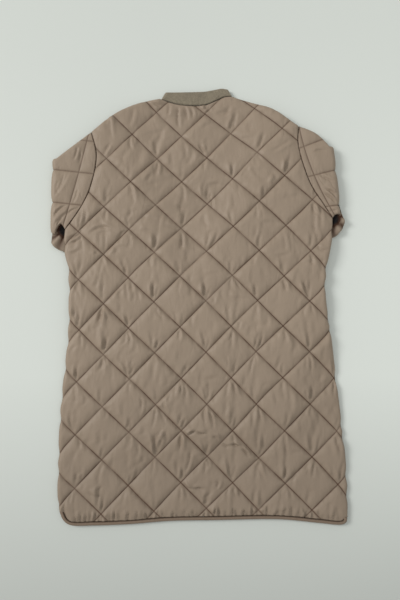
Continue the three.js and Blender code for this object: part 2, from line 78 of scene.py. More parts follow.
def points(*rows: tuple[float, float]) -> Points:
    """Make an array of points from rows of x and y."""
    return np.array(rows, dtype=float)


def spaced(line: Points, count: int) -> Points:
    """Space points evenly along a line.

    Args:
        line: the line's points in order.
        count: how many equal lengths it is cut into.

    Returns:
        One more point than the count.
    """
    lengths = np.concatenate([[0.0], np.cumsum(np.linalg.norm(np.diff(line, axis=0), axis=1))])
    stops = np.linspace(0.0, lengths[-1], count + 1)
    return np.stack([np.interp(stops, lengths, line[:, axis]) for axis in range(line.shape[1])], axis=1)


def curve_through(rows: Points, count: int | None = None, spacing: float = 4.0) -> Points:
    """Draw an even curve through the rows of a pattern piece's edge.

    Args:
        rows: the points that the edge passes through.
        count: how many equal lengths the curve is cut into.
        spacing: the length of a step in mm, where no count is given.

    Returns:
        Points along the curve, its two ends exactly on the first and last row.
    """
    ends = np.vstack([2 * rows[0] - rows[1], rows, 2 * rows[-1] - rows[-2]])
    steps = np.linspace(0.0, 1.0, 33)[1:, None]
    pieces = [rows[:1]]
    for before, start, end, after in zip(ends, ends[1:], ends[2:], ends[3:]):
        lead, run, trail = (math.sqrt(np.linalg.norm(b - a)) for a, b in
                            ((before, start), (start, end), (end, after)))
        leave = run * ((start - before) / lead - (end - before) / (lead + run) + (end - start) / run)
        arrive = run * ((end - start) / run - (after - start) / (run + trail) + (after - end) / trail)
        pieces.append(start + leave * steps + (3 * (end - start) - 2 * leave - arrive) * steps ** 2
                      + (2 * (start - end) + leave + arrive) * steps ** 3)
    line = np.vstack(pieces)
    length = np.linalg.norm(np.diff(line, axis=0), axis=1).sum()
    return spaced(line, count or max(1, round(length / spacing)))


def directions(line: Points, closed: bool = False) -> Points:
    """Give the way that a line runs at each of its points.

    Args:
        line: the line's points in order.
        closed: whether its last point joins its first.

    Returns:
        A unit vector for each point.
    """
    before, after = np.roll(line, 1, axis=0), np.roll(line, -1, axis=0)
    if not closed:
        before[0], after[-1] = line[0], line[-1]
    lead, trail = line - before, after - line
    lead_length = np.linalg.norm(lead, axis=1, keepdims=True)
    trail_length = np.linalg.norm(trail, axis=1, keepdims=True)
    lead = lead / np.where(lead_length > 0, lead_length, 1)
    trail = trail / np.where(trail_length > 0, trail_length, 1)
    along = lead + trail
    return along / np.linalg.norm(along, axis=1, keepdims=True)


def offset(line: Points, distance: float, closed: bool = False) -> Points:
    """Move a line to its left by a distance.

    Args:
        line: the line's points in order.
        distance: how far it moves, in mm.
        closed: whether its last point joins its first.

    Returns:
        The moved points.
    """
    along = directions(line, closed)
    return line + distance * np.stack([-along[:, 1], along[:, 0]], axis=1)


def inside(where: Points, loop: Points) -> np.ndarray:
    """Tell which points lie inside a closed loop.

    Args:
        where: the points to test.
        loop: the loop's points in order.

    Returns:
        True for each point inside.
    """
    result = np.zeros(len(where), dtype=bool)
    x, y = where[:, 0], where[:, 1]
    for a, b in zip(loop, np.roll(loop, 1, axis=0)):
        if a[1] == b[1]:
            continue
        crosses = (a[1] > y) != (b[1] > y)
        result ^= crosses & (x < a[0] + (b[0] - a[0]) * (y - a[1]) / (b[1] - a[1]))
    return result


def nearest(where: Points, line: Points, closed: bool = True) -> tuple[Values, Points]:
    """Find the nearest place on an evenly spaced line for each point.

    Args:
        where: the points to measure from.
        line: the line's points in order.
        closed: whether its last point joins its first.

    Returns:
        The distances, and the nearest places themselves.
    """
    tree = KDTree(len(line))
    for number, (x, y) in enumerate(line.tolist()):
        tree.insert((x, y, 0.0), number)
    tree.balance()
    found = np.array([tree.find((x, y, 0.0))[1] for x, y in where.tolist()])
    last = len(line) - 1
    best, place = np.full(len(where), np.inf), np.zeros_like(where)
    for step in (-1, 0):
        start, end = found + step, found + step + 1
        start, end = (start % len(line), end % len(line)) if closed else (np.maximum(start, 0),
                                                                          np.minimum(end, last))
        run = line[end] - line[start]
        square = np.maximum(np.sum(run * run, axis=1), 1e-12)
        share = np.clip(np.sum((where - line[start]) * run, axis=1) / square, 0.0, 1.0)
        spot = line[start] + share[:, None] * run
        away = np.hypot(*(where - spot).T)
        closer = away < best
        best[closer], place[closer] = away[closer], spot[closer]
    return best, place


# The cut of the jacket

@dataclass(frozen=True)
class QuiltLattice:
    """Two crossing sets of stitch lines that wander a little, as they were fed by hand."""

    across_start: float = 18.3
    across: float = 51.36
    along_start: float = 395.8
    along: float = 49.75
    flare_across: float = -0.0024
    tilt: float = 0.0448
    bow: float = -0.0064
    flare_along: float = 0.0086
    # How far the lines drift from the even lattice, every 120 mm from the wearer's left to the
    # right and from the hem up
    drift_step: float = 120.0
    drift_start: tuple[float, float] = (-240.0, -420.0)
    drift_across: tuple[tuple[float, ...], ...] = (
        (1.5, 0.2, -1.1, -1.7, 2.5), (0.2, 2.0, 1.3, -0.3, 3.6), (0.4, 3.5, 1.1, -6.6, -1.0),
        (4.8, -1.4, -1.7, -4.3, -0.9), (0.8, -3.4, -1.6, 1.5, -0.6), (-3.1, -1.4, 1.1, 4.0, 8.1),
        (1.2, 2.3, 0.9, -0.3, 2.0), (2.0, 0.2, -4.3, -6.1, -3.0))
    drift_along: tuple[tuple[float, ...], ...] = (
        (1.9, -3.9, 0.0, -3.3, 0.9), (0.8, -0.3, -1.5, -6.6, -1.6), (0.8, 1.6, -1.6, -1.6, -2.5),
        (0.4, 0.6, -0.3, -1.0, -2.4), (-2.2, 1.4, 2.8, 0.1, -6.7), (-7.7, -1.4, 1.5, 1.0, -1.8),
        (-7.4, -2.7, -2.0, 4.1, 1.4), (-4.3, 1.8, -8.5, -1.4, -3.2))

    def drift(self, where: Points) -> Points:
        """Give how far the stitch lines have drifted at each point, in mm."""
        columns, rows = len(self.drift_across[0]), len(self.drift_across)
        across = np.clip((where[:, 0] - self.drift_start[0]) / self.drift_step, 0, columns - 1.001)
        along = np.clip((where[:, 1] - self.drift_start[1]) / self.drift_step, 0, rows - 1.001)
        column, row = across.astype(int), along.astype(int)
        beside, above = across - column, along - row
        parts = []
        for table in (np.array(self.drift_across), np.array(self.drift_along)):
            low = mix(table[row, column], table[row, column + 1], beside)
            high = mix(table[row + 1, column], table[row + 1, column + 1], beside)
            parts.append(mix(low, high, above))
        return np.stack(parts, axis=1)

    def count(self, where: Points) -> tuple[Values, Values]:
        """Count the squares from the first stitch lines to each point.

        Args:
            where: points in mm.

        Returns:
            The counts across the two sets of lines, whole numbers on a line.
        """
        x, y = (where - self.drift(where)).T
        u, v = x / 100.0, y / 100.0
        i = (x - self.across_start) / self.across + self.flare_across * u * u * v
        drift = self.tilt * u + self.bow * v * v + self.flare_along * u * u * v
        j = (self.along_start - y) / self.along + drift
        return (i + j) / 2, (i - j) / 2

    def place(self, p: Values, q: Values) -> Points:
        """Find the points that have the given counts.

        Args:
            p: counts across the first set of lines.
            q: counts across the second set.

        Returns:
            Points in mm.
        """
        where = np.stack([self.across_start + (p + q) * self.across,
                          self.along_start - (p - q) * self.along], axis=1)
        for _ in range(9):
            found_p, found_q = self.count(where)
            where[:, 0] += (p - found_p + q - found_q) * self.across
            where[:, 1] -= (p - found_p - q + found_q) * self.along
        return where

    def distances(self, where: Points) -> tuple[Values, Values]:
        """Measure from each point to the nearest stitch line of each set.

        Args:
            where: points in mm.

        Returns:
            Two arrays of distances in mm.
        """
        pitch = 2 * self.across * self.along / math.hypot(self.across, self.along)
        p, q = self.count(where)
        return np.abs(p - np.round(p)) * pitch, np.abs(q - np.round(q)) * pitch


@dataclass(frozen=True)
class SleeveSide:
    """The edges of one side of the body, and how its sleeve is folded and quilted.

    Attributes:
        name: the wearer's side.
        outward: -1 or 1, the way that the sleeve points.
        shoulder: the body's edge from the neck to the armhole.
        armhole: the armhole seam, from the shoulder to the underarm.
        seam: the side seam, from the underarm to the hem.
        fold_top: the end of the fold nearer the shoulder.
        fold_bottom: the end of the fold as it was cut, nearer the hem.
        crown_swell: how far the crown of the sleeve swells out, in mm.
        level_y: where the level quilt line crosses the steep one.
        level_slope: how steeply the level line rises.
        level_fan: how much more steeply the next level line above it rises.
        steep_x: where the steep line crosses the level one.
        steep_slope: how far it leans.
        steep_bend: how much it bends.
        shown_bottom: where the fold ends once the underarm is drawn up.
        underarm_rise: how far the underarm's edge is drawn up between its ends, in mm.
        petals: the edge of the part folded under that peeps out, from the fold inwards.
        pleats: how many pleats there would be in a full turn round the underarm.
        pleat_start: where the first one stands, in degrees.
    """

    name: str
    outward: int
    shoulder: Points
    armhole: Points
    seam: Points
    fold_top: Points
    fold_bottom: Points
    crown_swell: Points
    level_y: float
    level_slope: float
    level_fan: float
    steep_x: float
    steep_slope: float
    steep_bend: float
    shown_bottom: Points
    underarm_rise: float
    petals: Points
    pleats: float
    pleat_start: float


LEFT = SleeveSide(
    name="left", outward=-1,
    shoulder=points((-78, 418), (-118, 409), (-163, 387), (-216, 344)),
    armhole=points((-216, 344), (-205, 300), (-207, 270), (-220, 219), (-243, 175), (-266, 143)),
    seam=points((-266, 143), (-268, 110), (-259, 60), (-256.5, 0), (-257, -60), (-262, -120),
                (-270.5, -205), (-274, -310), (-273, -390), (-269, -413)),
    fold_top=np.array([-286.0, 289.0]), fold_bottom=np.array([-286.0, 121.0]),
    crown_swell=np.array([-2.0, -1.0]),
    level_y=260, level_slope=-0.11, level_fan=0.0, steep_x=-240, steep_slope=0.25, steep_bend=-0.0002,
    shown_bottom=np.array([-286.0, 134.0]), underarm_rise=15.0,
    petals=points((-286, 134), (-294, 124), (-295, 116), (-288, 108), (-279, 102.5), (-267, 98)),
    pleats=9.7, pleat_start=-144.0)
RIGHT = SleeveSide(
    name="right", outward=1,
    shoulder=points((70, 423), (108, 410), (154, 393), (206, 356)),
    armhole=points((206, 356), (204, 325), (212, 283), (229, 235), (253, 196), (272, 166)),
    seam=points((272, 166), (270, 123), (258.5, 62), (256, 5), (265, -55), (272, -120),
                (280.5, -200), (290.5, -300), (294, -380), (292.5, -424)),
    fold_top=np.array([268.0, 314.0]), fold_bottom=np.array([287.2, 149.0]),
    crown_swell=np.array([4.0, 6.0]),
    level_y=254, level_slope=0.25, level_fan=0.13, steep_x=236, steep_slope=-0.40, steep_bend=0.0011,
    shown_bottom=np.array([280.0, 174.0]), underarm_rise=2.0,
    petals=points((280, 174), (293, 171), (298, 159), (294, 146), (281, 131), (268, 124)),
    pleats=7.2, pleat_start=-79.0)
SIDES = (LEFT, RIGHT)


@dataclass(frozen=True)
class SleeveCut:
    """Sizes that both sleeves share."""

    lower_wall: float = 4.2
    hollow: float = 0.8
    puff_top: float = 10.35
    stitched_wall: float = 2.0
    fold_play: float = 0.15
    pitch: float = 67.0
    tail_length: float = 470.0
    tail_rows: int = 9
    heading_start: float = 45.0
    heading_end: float = 85.0
    fold_reach: float = 130.0
    upper_half_width: float = 65.0
    cuff_half_width: float = 56.0
    petal_length: float = 62.0

    @property
    def fold_level(self) -> float:
        """Height of the axis that the sleeve turns about."""
        return self.puff_top + self.fold_play

    def tail_edges(self, side: SleeveSide, along: float) -> tuple[Points, Points]:
        """Find the sleeve's two edges where it lies folded under the body.

        Args:
            side: the side of the body.
            along: how far from the fold, in mm.

        Returns:
            The edge nearer the shoulder and the edge nearer the hem.
        """
        start = (side.fold_top + side.fold_bottom) / 2
        first = math.radians(self.heading_start)
        turn = math.radians(self.heading_end - self.heading_start) / self.tail_length
        heading = first + turn * along
        centre = np.array([start[0] - side.outward * (math.sin(heading) - math.sin(first)) / turn,
                           start[1] + (math.cos(heading) - math.cos(first)) / turn])
        across = np.array([-side.outward * math.sin(heading), math.cos(heading)])
        half = mix(self.upper_half_width, self.cuff_half_width, along / self.tail_length)
        return centre + across * half, centre - across * half

    def tail_line(self, side: SleeveSide, along: float) -> tuple[Points, Points]:
        """Find the ends of a line across the tail, drawn in towards the fold near it.

        Args:
            side: the side of the body.
            along: how far from the fold, in mm.

        Returns:
            The end nearer the shoulder and the end nearer the hem.
        """
        over, under = self.tail_edges(side, along)
        over_at_fold, under_at_fold = self.tail_edges(side, 0.0)
        pull = 1.0 - float(smooth(along / self.fold_reach))
        return (over + (side.fold_top - over_at_fold) * pull,
                under + (side.fold_bottom - under_at_fold) * pull)

    def shown_line(self, side: SleeveSide, along: float) -> tuple[Points, Points]:
        """Find the ends of a line across the tail as it lies, its lower corner spread into petals.

        Args:
            side: the side of the body.
            along: how far from the fold, in mm.

        Returns:
            The end nearer the shoulder and the end nearer the hem.
        """
        over, under = self.tail_line(side, along)
        stops = np.linspace(0.0, self.petal_length, len(side.petals))
        petal = np.array([np.interp(along, stops, side.petals[:, axis]) for axis in (0, 1)])
        return over, mix(petal, under, float(smooth((along - 45.0) / 45.0)))


@dataclass(frozen=True)
class BodyCut:
    """The outline of the body, its neck and hem, and how it lies over the folded sleeves."""

    neck: Points = field(default_factory=lambda: points(
        (70, 423), (55, 421.5), (38, 414), (20, 406), (-3, 403), (-42, 406), (-78, 418)))
    front_neck: Points = field(default_factory=lambda: points(
        (70, 423), (60, 380), (34, 347), (-3, 335), (-40, 345), (-67, 377), (-78, 418)))
    hem: Points = field(default_factory=lambda: points(
        (-269, -413), (-262, -428), (-249, -437.6), (-199, -438.6), (-131, -436), (-53, -430),
        (34, -428.5), (161, -427), (238, -434), (281, -437), (290, -433), (292.5, -424)))
    edge_top: tuple[float, float] = (-3.0, 335.0)
    edge_bottom: tuple[float, float] = (10.0, -427.0)
    corner_radius: float = 14.0
    lift: float = 10.65
    lift_margin: float = 40.0
    lift_ramp: float = 95.0
    scallop: float = 2.6
    sleeve: SleeveCut = SleeveCut()

    def lifted_areas(self) -> list[Points]:
        """Outline the two areas under which a sleeve is folded."""
        areas = []
        for side in SIDES:
            steps = [(k + 1) * self.sleeve.tail_length / self.sleeve.tail_rows
                     for k in range(self.sleeve.tail_rows)]
            lines = [self.sleeve.tail_line(side, along) for along in steps]
            over = [line[0] for line in lines][2:][::-1]
            areas.append(np.array([side.armhole[0], side.fold_top, side.fold_bottom,
                                   *[line[1] for line in lines], *over]))
        return areas

    def lift_at(self, where: Points) -> Values:
        """Give the height of the body's underside above the surface.

        Args:
            where: points in mm.

        Returns:
            Heights in mm, 0 where the body rests on the surface.
        """
        settled = np.ones(len(where))
        for area in self.lifted_areas():
            away, _ = nearest(where, spaced(np.vstack([area, area[:1]]), 500)[:-1])
            away = np.where(inside(where, area), 0.0, away)
            settled *= smooth((away - self.lift_margin) / self.lift_ramp)
        return self.lift * (1.0 - settled)

    def outer_edge(self, side: SleeveSide) -> Points:
        """Draw the shoulder, armhole and side seam of one side, from the neck to the hem."""
        seam = curve_through(side.seam)
        seam[-1, 1] += SEAM_GAP
        return np.vstack([curve_through(side.shoulder)[:-1], curve_through(side.armhole)[:-1], seam])

    def hem_line(self) -> Points:
        """Draw the outer edge of the hem from the wearer's left to the right."""
        return curve_through(self.hem, spacing=3.0)

    def back_outline(self) -> Points:
        """Draw the whole edge of the back panel as a closed loop."""
        hem = offset(self.hem_line(), BINDING_WIDTH + SEAM_GAP)
        hem[0], hem[-1] = self.hem[0] + (0, SEAM_GAP), self.hem[-1] + (0, SEAM_GAP)
        return np.vstack([self.outer_edge(LEFT), hem, self.outer_edge(RIGHT)[::-1],
                          curve_through(self.neck)[1:-1]])

    def front_bound_edge(self, side: SleeveSide) -> Points:
        """Draw a front's bound edge: the hem, the corner and the centre-front edge.

        Args:
            side: the side of the body.

        Returns:
            Points from the side seam to the neck.
        """
        (top_x, top_y), (bottom_x, bottom_y) = self.edge_top, self.edge_bottom

        def edge_x(y: float) -> float:
            """Find the centre-front edge at a height."""
            return mix(bottom_x, top_x, (y - bottom_y) / (top_y - bottom_y)) + side.outward * SEAM_GAP / 2

        hem = self.hem_line() if side.outward < 0 else self.hem_line()[::-1]
        hem = hem[(hem[:, 0] - bottom_x) * side.outward > self.corner_radius + BINDING_WIDTH]
        corner_x = edge_x(bottom_y) + side.outward * self.corner_radius
        turn = np.linspace(0.0, math.pi / 2, 9)
        corner = np.stack([corner_x - side.outward * self.corner_radius * np.sin(turn),
                           bottom_y + self.corner_radius * (1 - np.cos(turn))], axis=1)
        heights = np.linspace(corner[-1, 1], top_y - SEAM_GAP, 190)[1:]
        upright = np.array([(edge_x(y), y) for y in heights])
        return np.vstack([hem, corner, upright])

    def front_outline(self, side: SleeveSide) -> Points:
        """Draw the whole edge of one front panel as a closed loop."""
        bound = offset(self.front_bound_edge(side), -side.outward * (BINDING_WIDTH + SEAM_GAP))
        bound[0, 1] += SEAM_GAP
        neck = curve_through(self.front_neck)
        neck = neck[(neck[:, 0] - bound[-1, 0]) * side.outward > 1.0]
        from_centre = neck if side.outward < 0 else neck[::-1]
        loop = np.vstack([self.outer_edge(side), bound, from_centre[:-1]])
        return loop if side.outward < 0 else loop[::-1]


QUILT = QuiltLattice()
BODY = BodyCut()


# Creases and folds

@dataclass(frozen=True)
class Crease:
    """A soft trough with a low ridge on one side of it.

    Attributes:
        start: where it begins, in mm.
        end: where it dies away.
        depth: how deep it is in the middle, in mm.
        width: half the width of the trough, in mm.
        bend: how far its middle stands off the straight line, in mm.
        ridge: height of the ridge beside it, as a share of the depth.
    """

    start: tuple[float, float]
    end: tuple[float, float]
    depth: float = 0.8
    width: float = 3.0
    bend: float = 0.0
    ridge: float = 0.6

    def height(self, where: Points) -> Values:
        """Work out how far the crease raises or lowers the cloth.

        Args:
            where: points in mm.

        Returns:
            Heights in mm.
        """
        start, end = np.array(self.start), np.array(self.end)
        run = end - start
        length = np.linalg.norm(run)
        along = (where - start) @ run / length ** 2
        beside = (where - start) @ np.array([-run[1], run[0]]) / length
        beside = beside - self.bend * 4 * along * (1 - along)
        fading = smooth(along / 0.3) * smooth((1 - along) / 0.45)
        trough = np.exp(-(beside / self.width) ** 2)
        ridge = np.exp(-((beside - 2.1 * self.width) / (1.35 * self.width)) ** 2)
        return self.depth * fading * (self.ridge * ridge - trough)


def crease_field(where: Points, creases: list[Crease]) -> Values:
    """Add up the creases over a piece of cloth.

    Args:
        where: points in mm.
        creases: the creases on it.

    Returns:
        Heights in mm.
    """
    total = np.zeros(len(where))
    for crease in creases:
        reach = 5 * crease.width + abs(crease.bend)
        low = np.minimum(crease.start, crease.end) - reach
        high = np.maximum(crease.start, crease.end) + reach
        near = np.all((where > low) & (where < high), axis=1)
        total[near] += crease.height(where[near])
    return total


def curled_creases(where: Points, seed: int, length: float, stretch: float) -> Values:
    """Make narrow creases that wander over the cloth, and come and go.

    Args:
        where: points in mm.
        seed: picks one pattern.
        length: the usual distance between two creases, in mm.
        stretch: how many times longer they run along Y than along X.

    Returns:
        Heights of about -1 in a crease to 0.5 on the ridges beside it.
    """
    wave = soft_waves(where, seed, length, stretch)
    present = smooth((soft_waves(where, seed + 40, 1.8 * length, 1.2) + 0.1) / 0.9)
    trough = np.exp(-(wave / 0.17) ** 2)
    ridge = np.exp(-((np.abs(wave) - 0.45) / 0.28) ** 2)
    return present * (0.5 * ridge - trough)


def soft_waves(where: Points, seed: int, length: float, stretch: float = 1.0, count: int = 24) -> Values:
    """Make a slow, uneven rise and fall over the cloth.

    Args:
        where: points in mm.
        seed: picks one pattern.
        length: the usual distance between two rises, in mm.
        stretch: how many times longer the waves run along Y than along X.
        count: how many plain waves are added up.

    Returns:
        Values of about -1 to 1.
    """
    dice = np.random.default_rng(seed)
    total = np.zeros(len(where))
    for _ in range(count):
        angle, phase = dice.uniform(0, 2 * math.pi, 2)
        pace = 2 * math.pi / (length * dice.uniform(0.6, 1.8))
        total += np.sin(pace * (where[:, 0] * math.cos(angle)
                                + where[:, 1] * math.sin(angle) / stretch) + phase)
    return total / math.sqrt(count)


@dataclass
class BackCreases:
    """The creases in the back: some placed one by one, the rest drawn by the weight of the skirt."""

    seed: int = 11
    placed: tuple[Crease, ...] = (
        # Gathers that run down from the neck seam
        Crease((-59, 409), (-62, 376), 1.5, 2.4, 2),
        Crease((-38, 405), (-37, 352), 2.5, 2.6, -3),
        Crease((-27, 403), (-21, 366), 2.2, 2.3, 2),
        Crease((-14, 402), (-9, 372), 1.4, 2.2, 1),
        Crease((3, 402), (26, 376), 2.1, 2.6, -2),
        Crease((22, 404), (24, 388), 1.7, 2.2, 1),
        Crease((-93, 409), (-68, 401), 1.4, 2.8, -2),
        # Drag lines by the shoulders
        Crease((-177, 384), (-172, 322), 1.7, 2.6, -2),
        Crease((-131, 398), (-141, 352), 1.0, 3.4, 2),
        Crease((-176, 322), (-196, 290), 1.5, 2.6, 1),
        Crease((66, 404), (52, 378), 1.3, 3.0, 3),
        Crease((-2, 322), (14, 286), 1.1, 2.6, 5),
        Crease((20, 224), (28, 178), 1.5, 2.2, 6),
        Crease((-72, 356), (-98, 300), 1.0, 6.0, 4),
        Crease((-110, 332), (-132, 262), 0.9, 7.0, 5),
        # Curled creases near the hem
        Crease((-214, -369), (-188, -381), 1.3, 2.2, -6),
        Crease((-196, -377), (-183, -362), 0.9, 2.0, 4),
        Crease((-112, -186), (-116, -232), 1.5, 2.2, 5),
        Crease((-142, -128), (-141, -166), 1.4, 2.4, 2),
        Crease((-66, -248), (-84, -300), 1.6, 2.4, -6),
        Crease((-118, -276), (-116, -312), 1.2, 2.6, 2),
        Crease((-232, -322), (-228, -360), 1.0, 3.0, 4),
        Crease((118, -262), (122, -300), 1.2, 2.6, -3),
        Crease((176, -214), (168, -252), 1.1, 2.6, 3),
        Crease((-27, -356), (-8, -369), 2.0, 2.2, -4),
        Crease((-10, -369), (17, -373), 2.2, 2.2, 4),
        Crease((39, -349), (35, -370), 1.9, 2.3, 3),
        Crease((-14, -289), (-27, -343), 1.9, 2.3, 4),
        Crease((-20, -267), (0, -255), 2.6, 2.1, 3),
        Crease((-2, -255), (21, -257), 2.7, 2.1, -4),
        Crease((22, -215), (31, -256), 1.9, 2.2, 3),
        Crease((27, -265), (40, -278), 2.3, 2.1, 5),
        Crease((49, -277), (66, -284), 2.5, 2.1, -5),
        Crease((64, -282), (86, -291), 2.6, 2.1, 3),
        Crease((84, -289), (100, -311), 2.4, 2.1, 4),
        # Level drag lines across the upper back
        Crease((-122, 168), (-74, 160), 0.7, 3.2, 3),
        Crease((-66, 152), (-22, 147), 0.8, 3.0, -3),
        Crease((-120, 140), (-70, 133), 0.6, 3.0, 2),
        Crease((16, 238), (66, 228), 0.6, 3.6, 3),
        Crease((96, 262), (150, 256), 0.6, 4.0, 4),
        Crease((-70, 250), (-24, 258), 0.5, 4.0, -3),
        # Folds that the folded sleeves draw into the body by the underarms
        Crease((-234, 186), (-241, 148), 1.5, 2.3, 3),
        Crease((-227, 188), (-231, 146), 1.6, 2.3, 3),
        Crease((-221, 186), (-228, 140), 1.3, 2.3, 2),
        Crease((-262, 126), (-229, 150), 1.6, 2.3, -9),
        Crease((-262, 115), (-228, 136), 1.5, 2.3, -7),
        Crease((-257, 96), (-231, 110), 1.3, 2.3, -6),
        Crease((-222, 128), (-156, 130), 1.4, 2.8, 18),
        Crease((-206, 168), (-178, 118), 0.9, 4.5, 6),
        Crease((229, 206), (231, 122), 1.2, 2.8, 4),
        Crease((228, 162), (243, 92), 1.4, 2.5, 4),
        Crease((244, 204), (245, 136), 1.3, 2.6, 3),
        Crease((237, 114), (266, 103), 1.4, 2.4, -8),
    )

    def drawn(self) -> list[Crease]:
        """Draw the small upright creases of each square, few above and more below."""
        dice = np.random.default_rng(self.seed)
        creases = []
        for p in range(-4, 13):
            for q in range(-13, 5):
                centre = QUILT.place(np.array([p + 0.5]), np.array([q + 0.5]))[0]
                below = float(smooth((230 - centre[1]) / 260))
                number = dice.poisson(1.2 + 2.6 * below)
                for place in range(min(int(number), 4)):
                    across = (place - (number - 1) / 2) * dice.uniform(13, 20) + dice.normal(0, 4)
                    length = dice.uniform(26, 62) * (1 - abs(across) / 70)
                    middle = centre + np.array([across, dice.normal(0, 13)])
                    lean = dice.normal(0.02, 0.12 if below > 0.3 else 0.35)
                    half = np.array([math.sin(lean), math.cos(lean)]) * length / 2
                    flip = 1 if dice.random() < 0.65 else -1
                    start, end = (middle - half, middle + half)[::flip]
                    creases.append(Crease(tuple(start), tuple(end), dice.uniform(0.3, 1.05),
                                          dice.uniform(2.2, 4.4), dice.normal(0, 4), 0.7))
                if dice.random() < 0.5 - 0.35 * below:
                    lean = dice.normal(1.45, 0.2)
                    half = np.array([math.sin(lean), math.cos(lean)]) * dice.uniform(14, 26)
                    middle = centre + dice.normal(0, 11, 2)
                    creases.append(Crease(tuple(middle - half), tuple(middle + half),
                                          dice.uniform(0.3, 0.7), dice.uniform(2.5, 4.0),
                                          dice.normal(0, 3), 0.7))
        return creases

    def gathers(self) -> list[Crease]:
        """Draw the upright gathers that run into the squares from where two stitch lines cross."""
        dice = np.random.default_rng(self.seed + 2)
        creases = []
        for p in range(-4, 13):
            for q in range(-13, 5):
                crossing = QUILT.place(np.array([float(p)]), np.array([float(q)]))[0]
                below = float(smooth((260 - crossing[1]) / 280))
                for way in (-1, 1):
                    for _ in range(int(dice.poisson(0.9 + 1.6 * below))):
                        lean = dice.normal(0, 0.17)
                        ahead = np.array([math.sin(lean), way * math.cos(lean)])
                        foot = crossing + ahead * dice.uniform(1, 7) + np.array([dice.normal(0, 3.5), 0])
                        tip = foot + ahead * dice.uniform(24, 52)
                        creases.append(Crease(tuple(foot), tuple(tip), dice.uniform(0.5, 1.6),
                                              dice.uniform(2.0, 3.2), dice.normal(0, 2.5), 0.5))
        return creases

    def hem_puckers(self) -> list[Crease]:
        """Draw the short puckers that the binding's stitching pulls into the hem."""
        dice = np.random.default_rng(self.seed + 1)
        edge = offset(BODY.hem_line(), BINDING_WIDTH + 1.0)
        creases, travelled = [], 6.0
        lengths = np.concatenate([[0.0], np.cumsum(np.linalg.norm(np.diff(edge, axis=0), axis=1))])
        while travelled < lengths[-1] - 8:
            foot = np.array([np.interp(travelled, lengths, edge[:, axis]) for axis in (0, 1)])
            top = foot + np.array([dice.normal(0, 4), dice.uniform(10, 25)])
            foot = foot - np.array([0.0, 6.0])
            creases.append(Crease(tuple(foot), tuple(top), dice.uniform(0.9, 2.3),
                                  dice.uniform(1.5, 2.3), dice.normal(0, 1), 0.8))
            travelled += dice.uniform(5, 13)
        return creases

    def every(self) -> list[Crease]:
        """List all creases of the back."""
        return [*self.placed, *self.drawn(), *self.gathers(), *self.hem_puckers()]


# The gathers in the upper part of each sleeve
SLEEVE_FOLDS: dict[str, list[Crease]] = {
    "left": [Crease((-243, 315), (-252, 281), 1.2, 2.4, 2), Crease((-237, 307), (-241, 269), 1.2, 2.4, 2),
             Crease((-268, 262), (-294, 204), 0.7, 2.6, 5), Crease((-260, 264), (-283, 214), 0.5, 2.4, 3),
             Crease((-241, 226), (-252, 195), 0.9, 2.2, 2), Crease((-294, 155), (-254, 196), 1.3, 2.2, 8),
             Crease((-291, 144), (-239, 190), 1.1, 2.4, 6), Crease((-270, 166), (-232, 188), 1.1, 2.0, 4),
             Crease((-282, 146), (-266, 170), 1.0, 1.8, 3)],
    "right": [Crease((254, 230), (285, 197), 1.5, 2.2, 3), Crease((251, 219), (282, 191), 1.5, 2.2, 3),
              Crease((263, 226), (287, 202), 1.3, 2.2, 2), Crease((240, 262), (283, 238), 1.2, 2.6, -4),
              Crease((232, 300), (264, 300), 1.0, 2.8, 4), Crease((262, 176), (284, 180), 1.2, 2.2, 3)],
}


# Materials

class Shade:
    """A shader socket that can be written in sums, so that an expression adds its Math nodes."""

    def __init__(self, nodes: "Nodes", socket: bpy.types.NodeSocket) -> None:
        """Wrap one output socket."""
        self.nodes = nodes
        self.socket = socket

    def _math(self, operation: str, first: object, second: object) -> "Shade":
        """Add a Math node for two values or sockets."""
        return self.nodes.add("ShaderNodeMath", {"operation": operation}, {0: first, 1: second})

    def __add__(self, other: object) -> "Shade":
        """Add."""
        return self._math("ADD", self, other)

    __radd__ = __add__

    def __sub__(self, other: object) -> "Shade":
        """Subtract."""
        return self._math("SUBTRACT", self, other)

    def __rsub__(self, other: object) -> "Shade":
        """Subtract from a number."""
        return self._math("SUBTRACT", other, self)

    def __mul__(self, other: object) -> "Shade":
        """Multiply."""
        return self._math("MULTIPLY", self, other)

    __rmul__ = __mul__

    def __pow__(self, other: object) -> "Shade":
        """Raise to a power."""
        return self._math("POWER", self, other)

    def sine(self) -> "Shade":
        """Take the sine."""
        return self._math("SINE", self, 0.0)

    def size(self) -> "Shade":
        """Drop the sign."""
        return self._math("ABSOLUTE", self, 0.0)


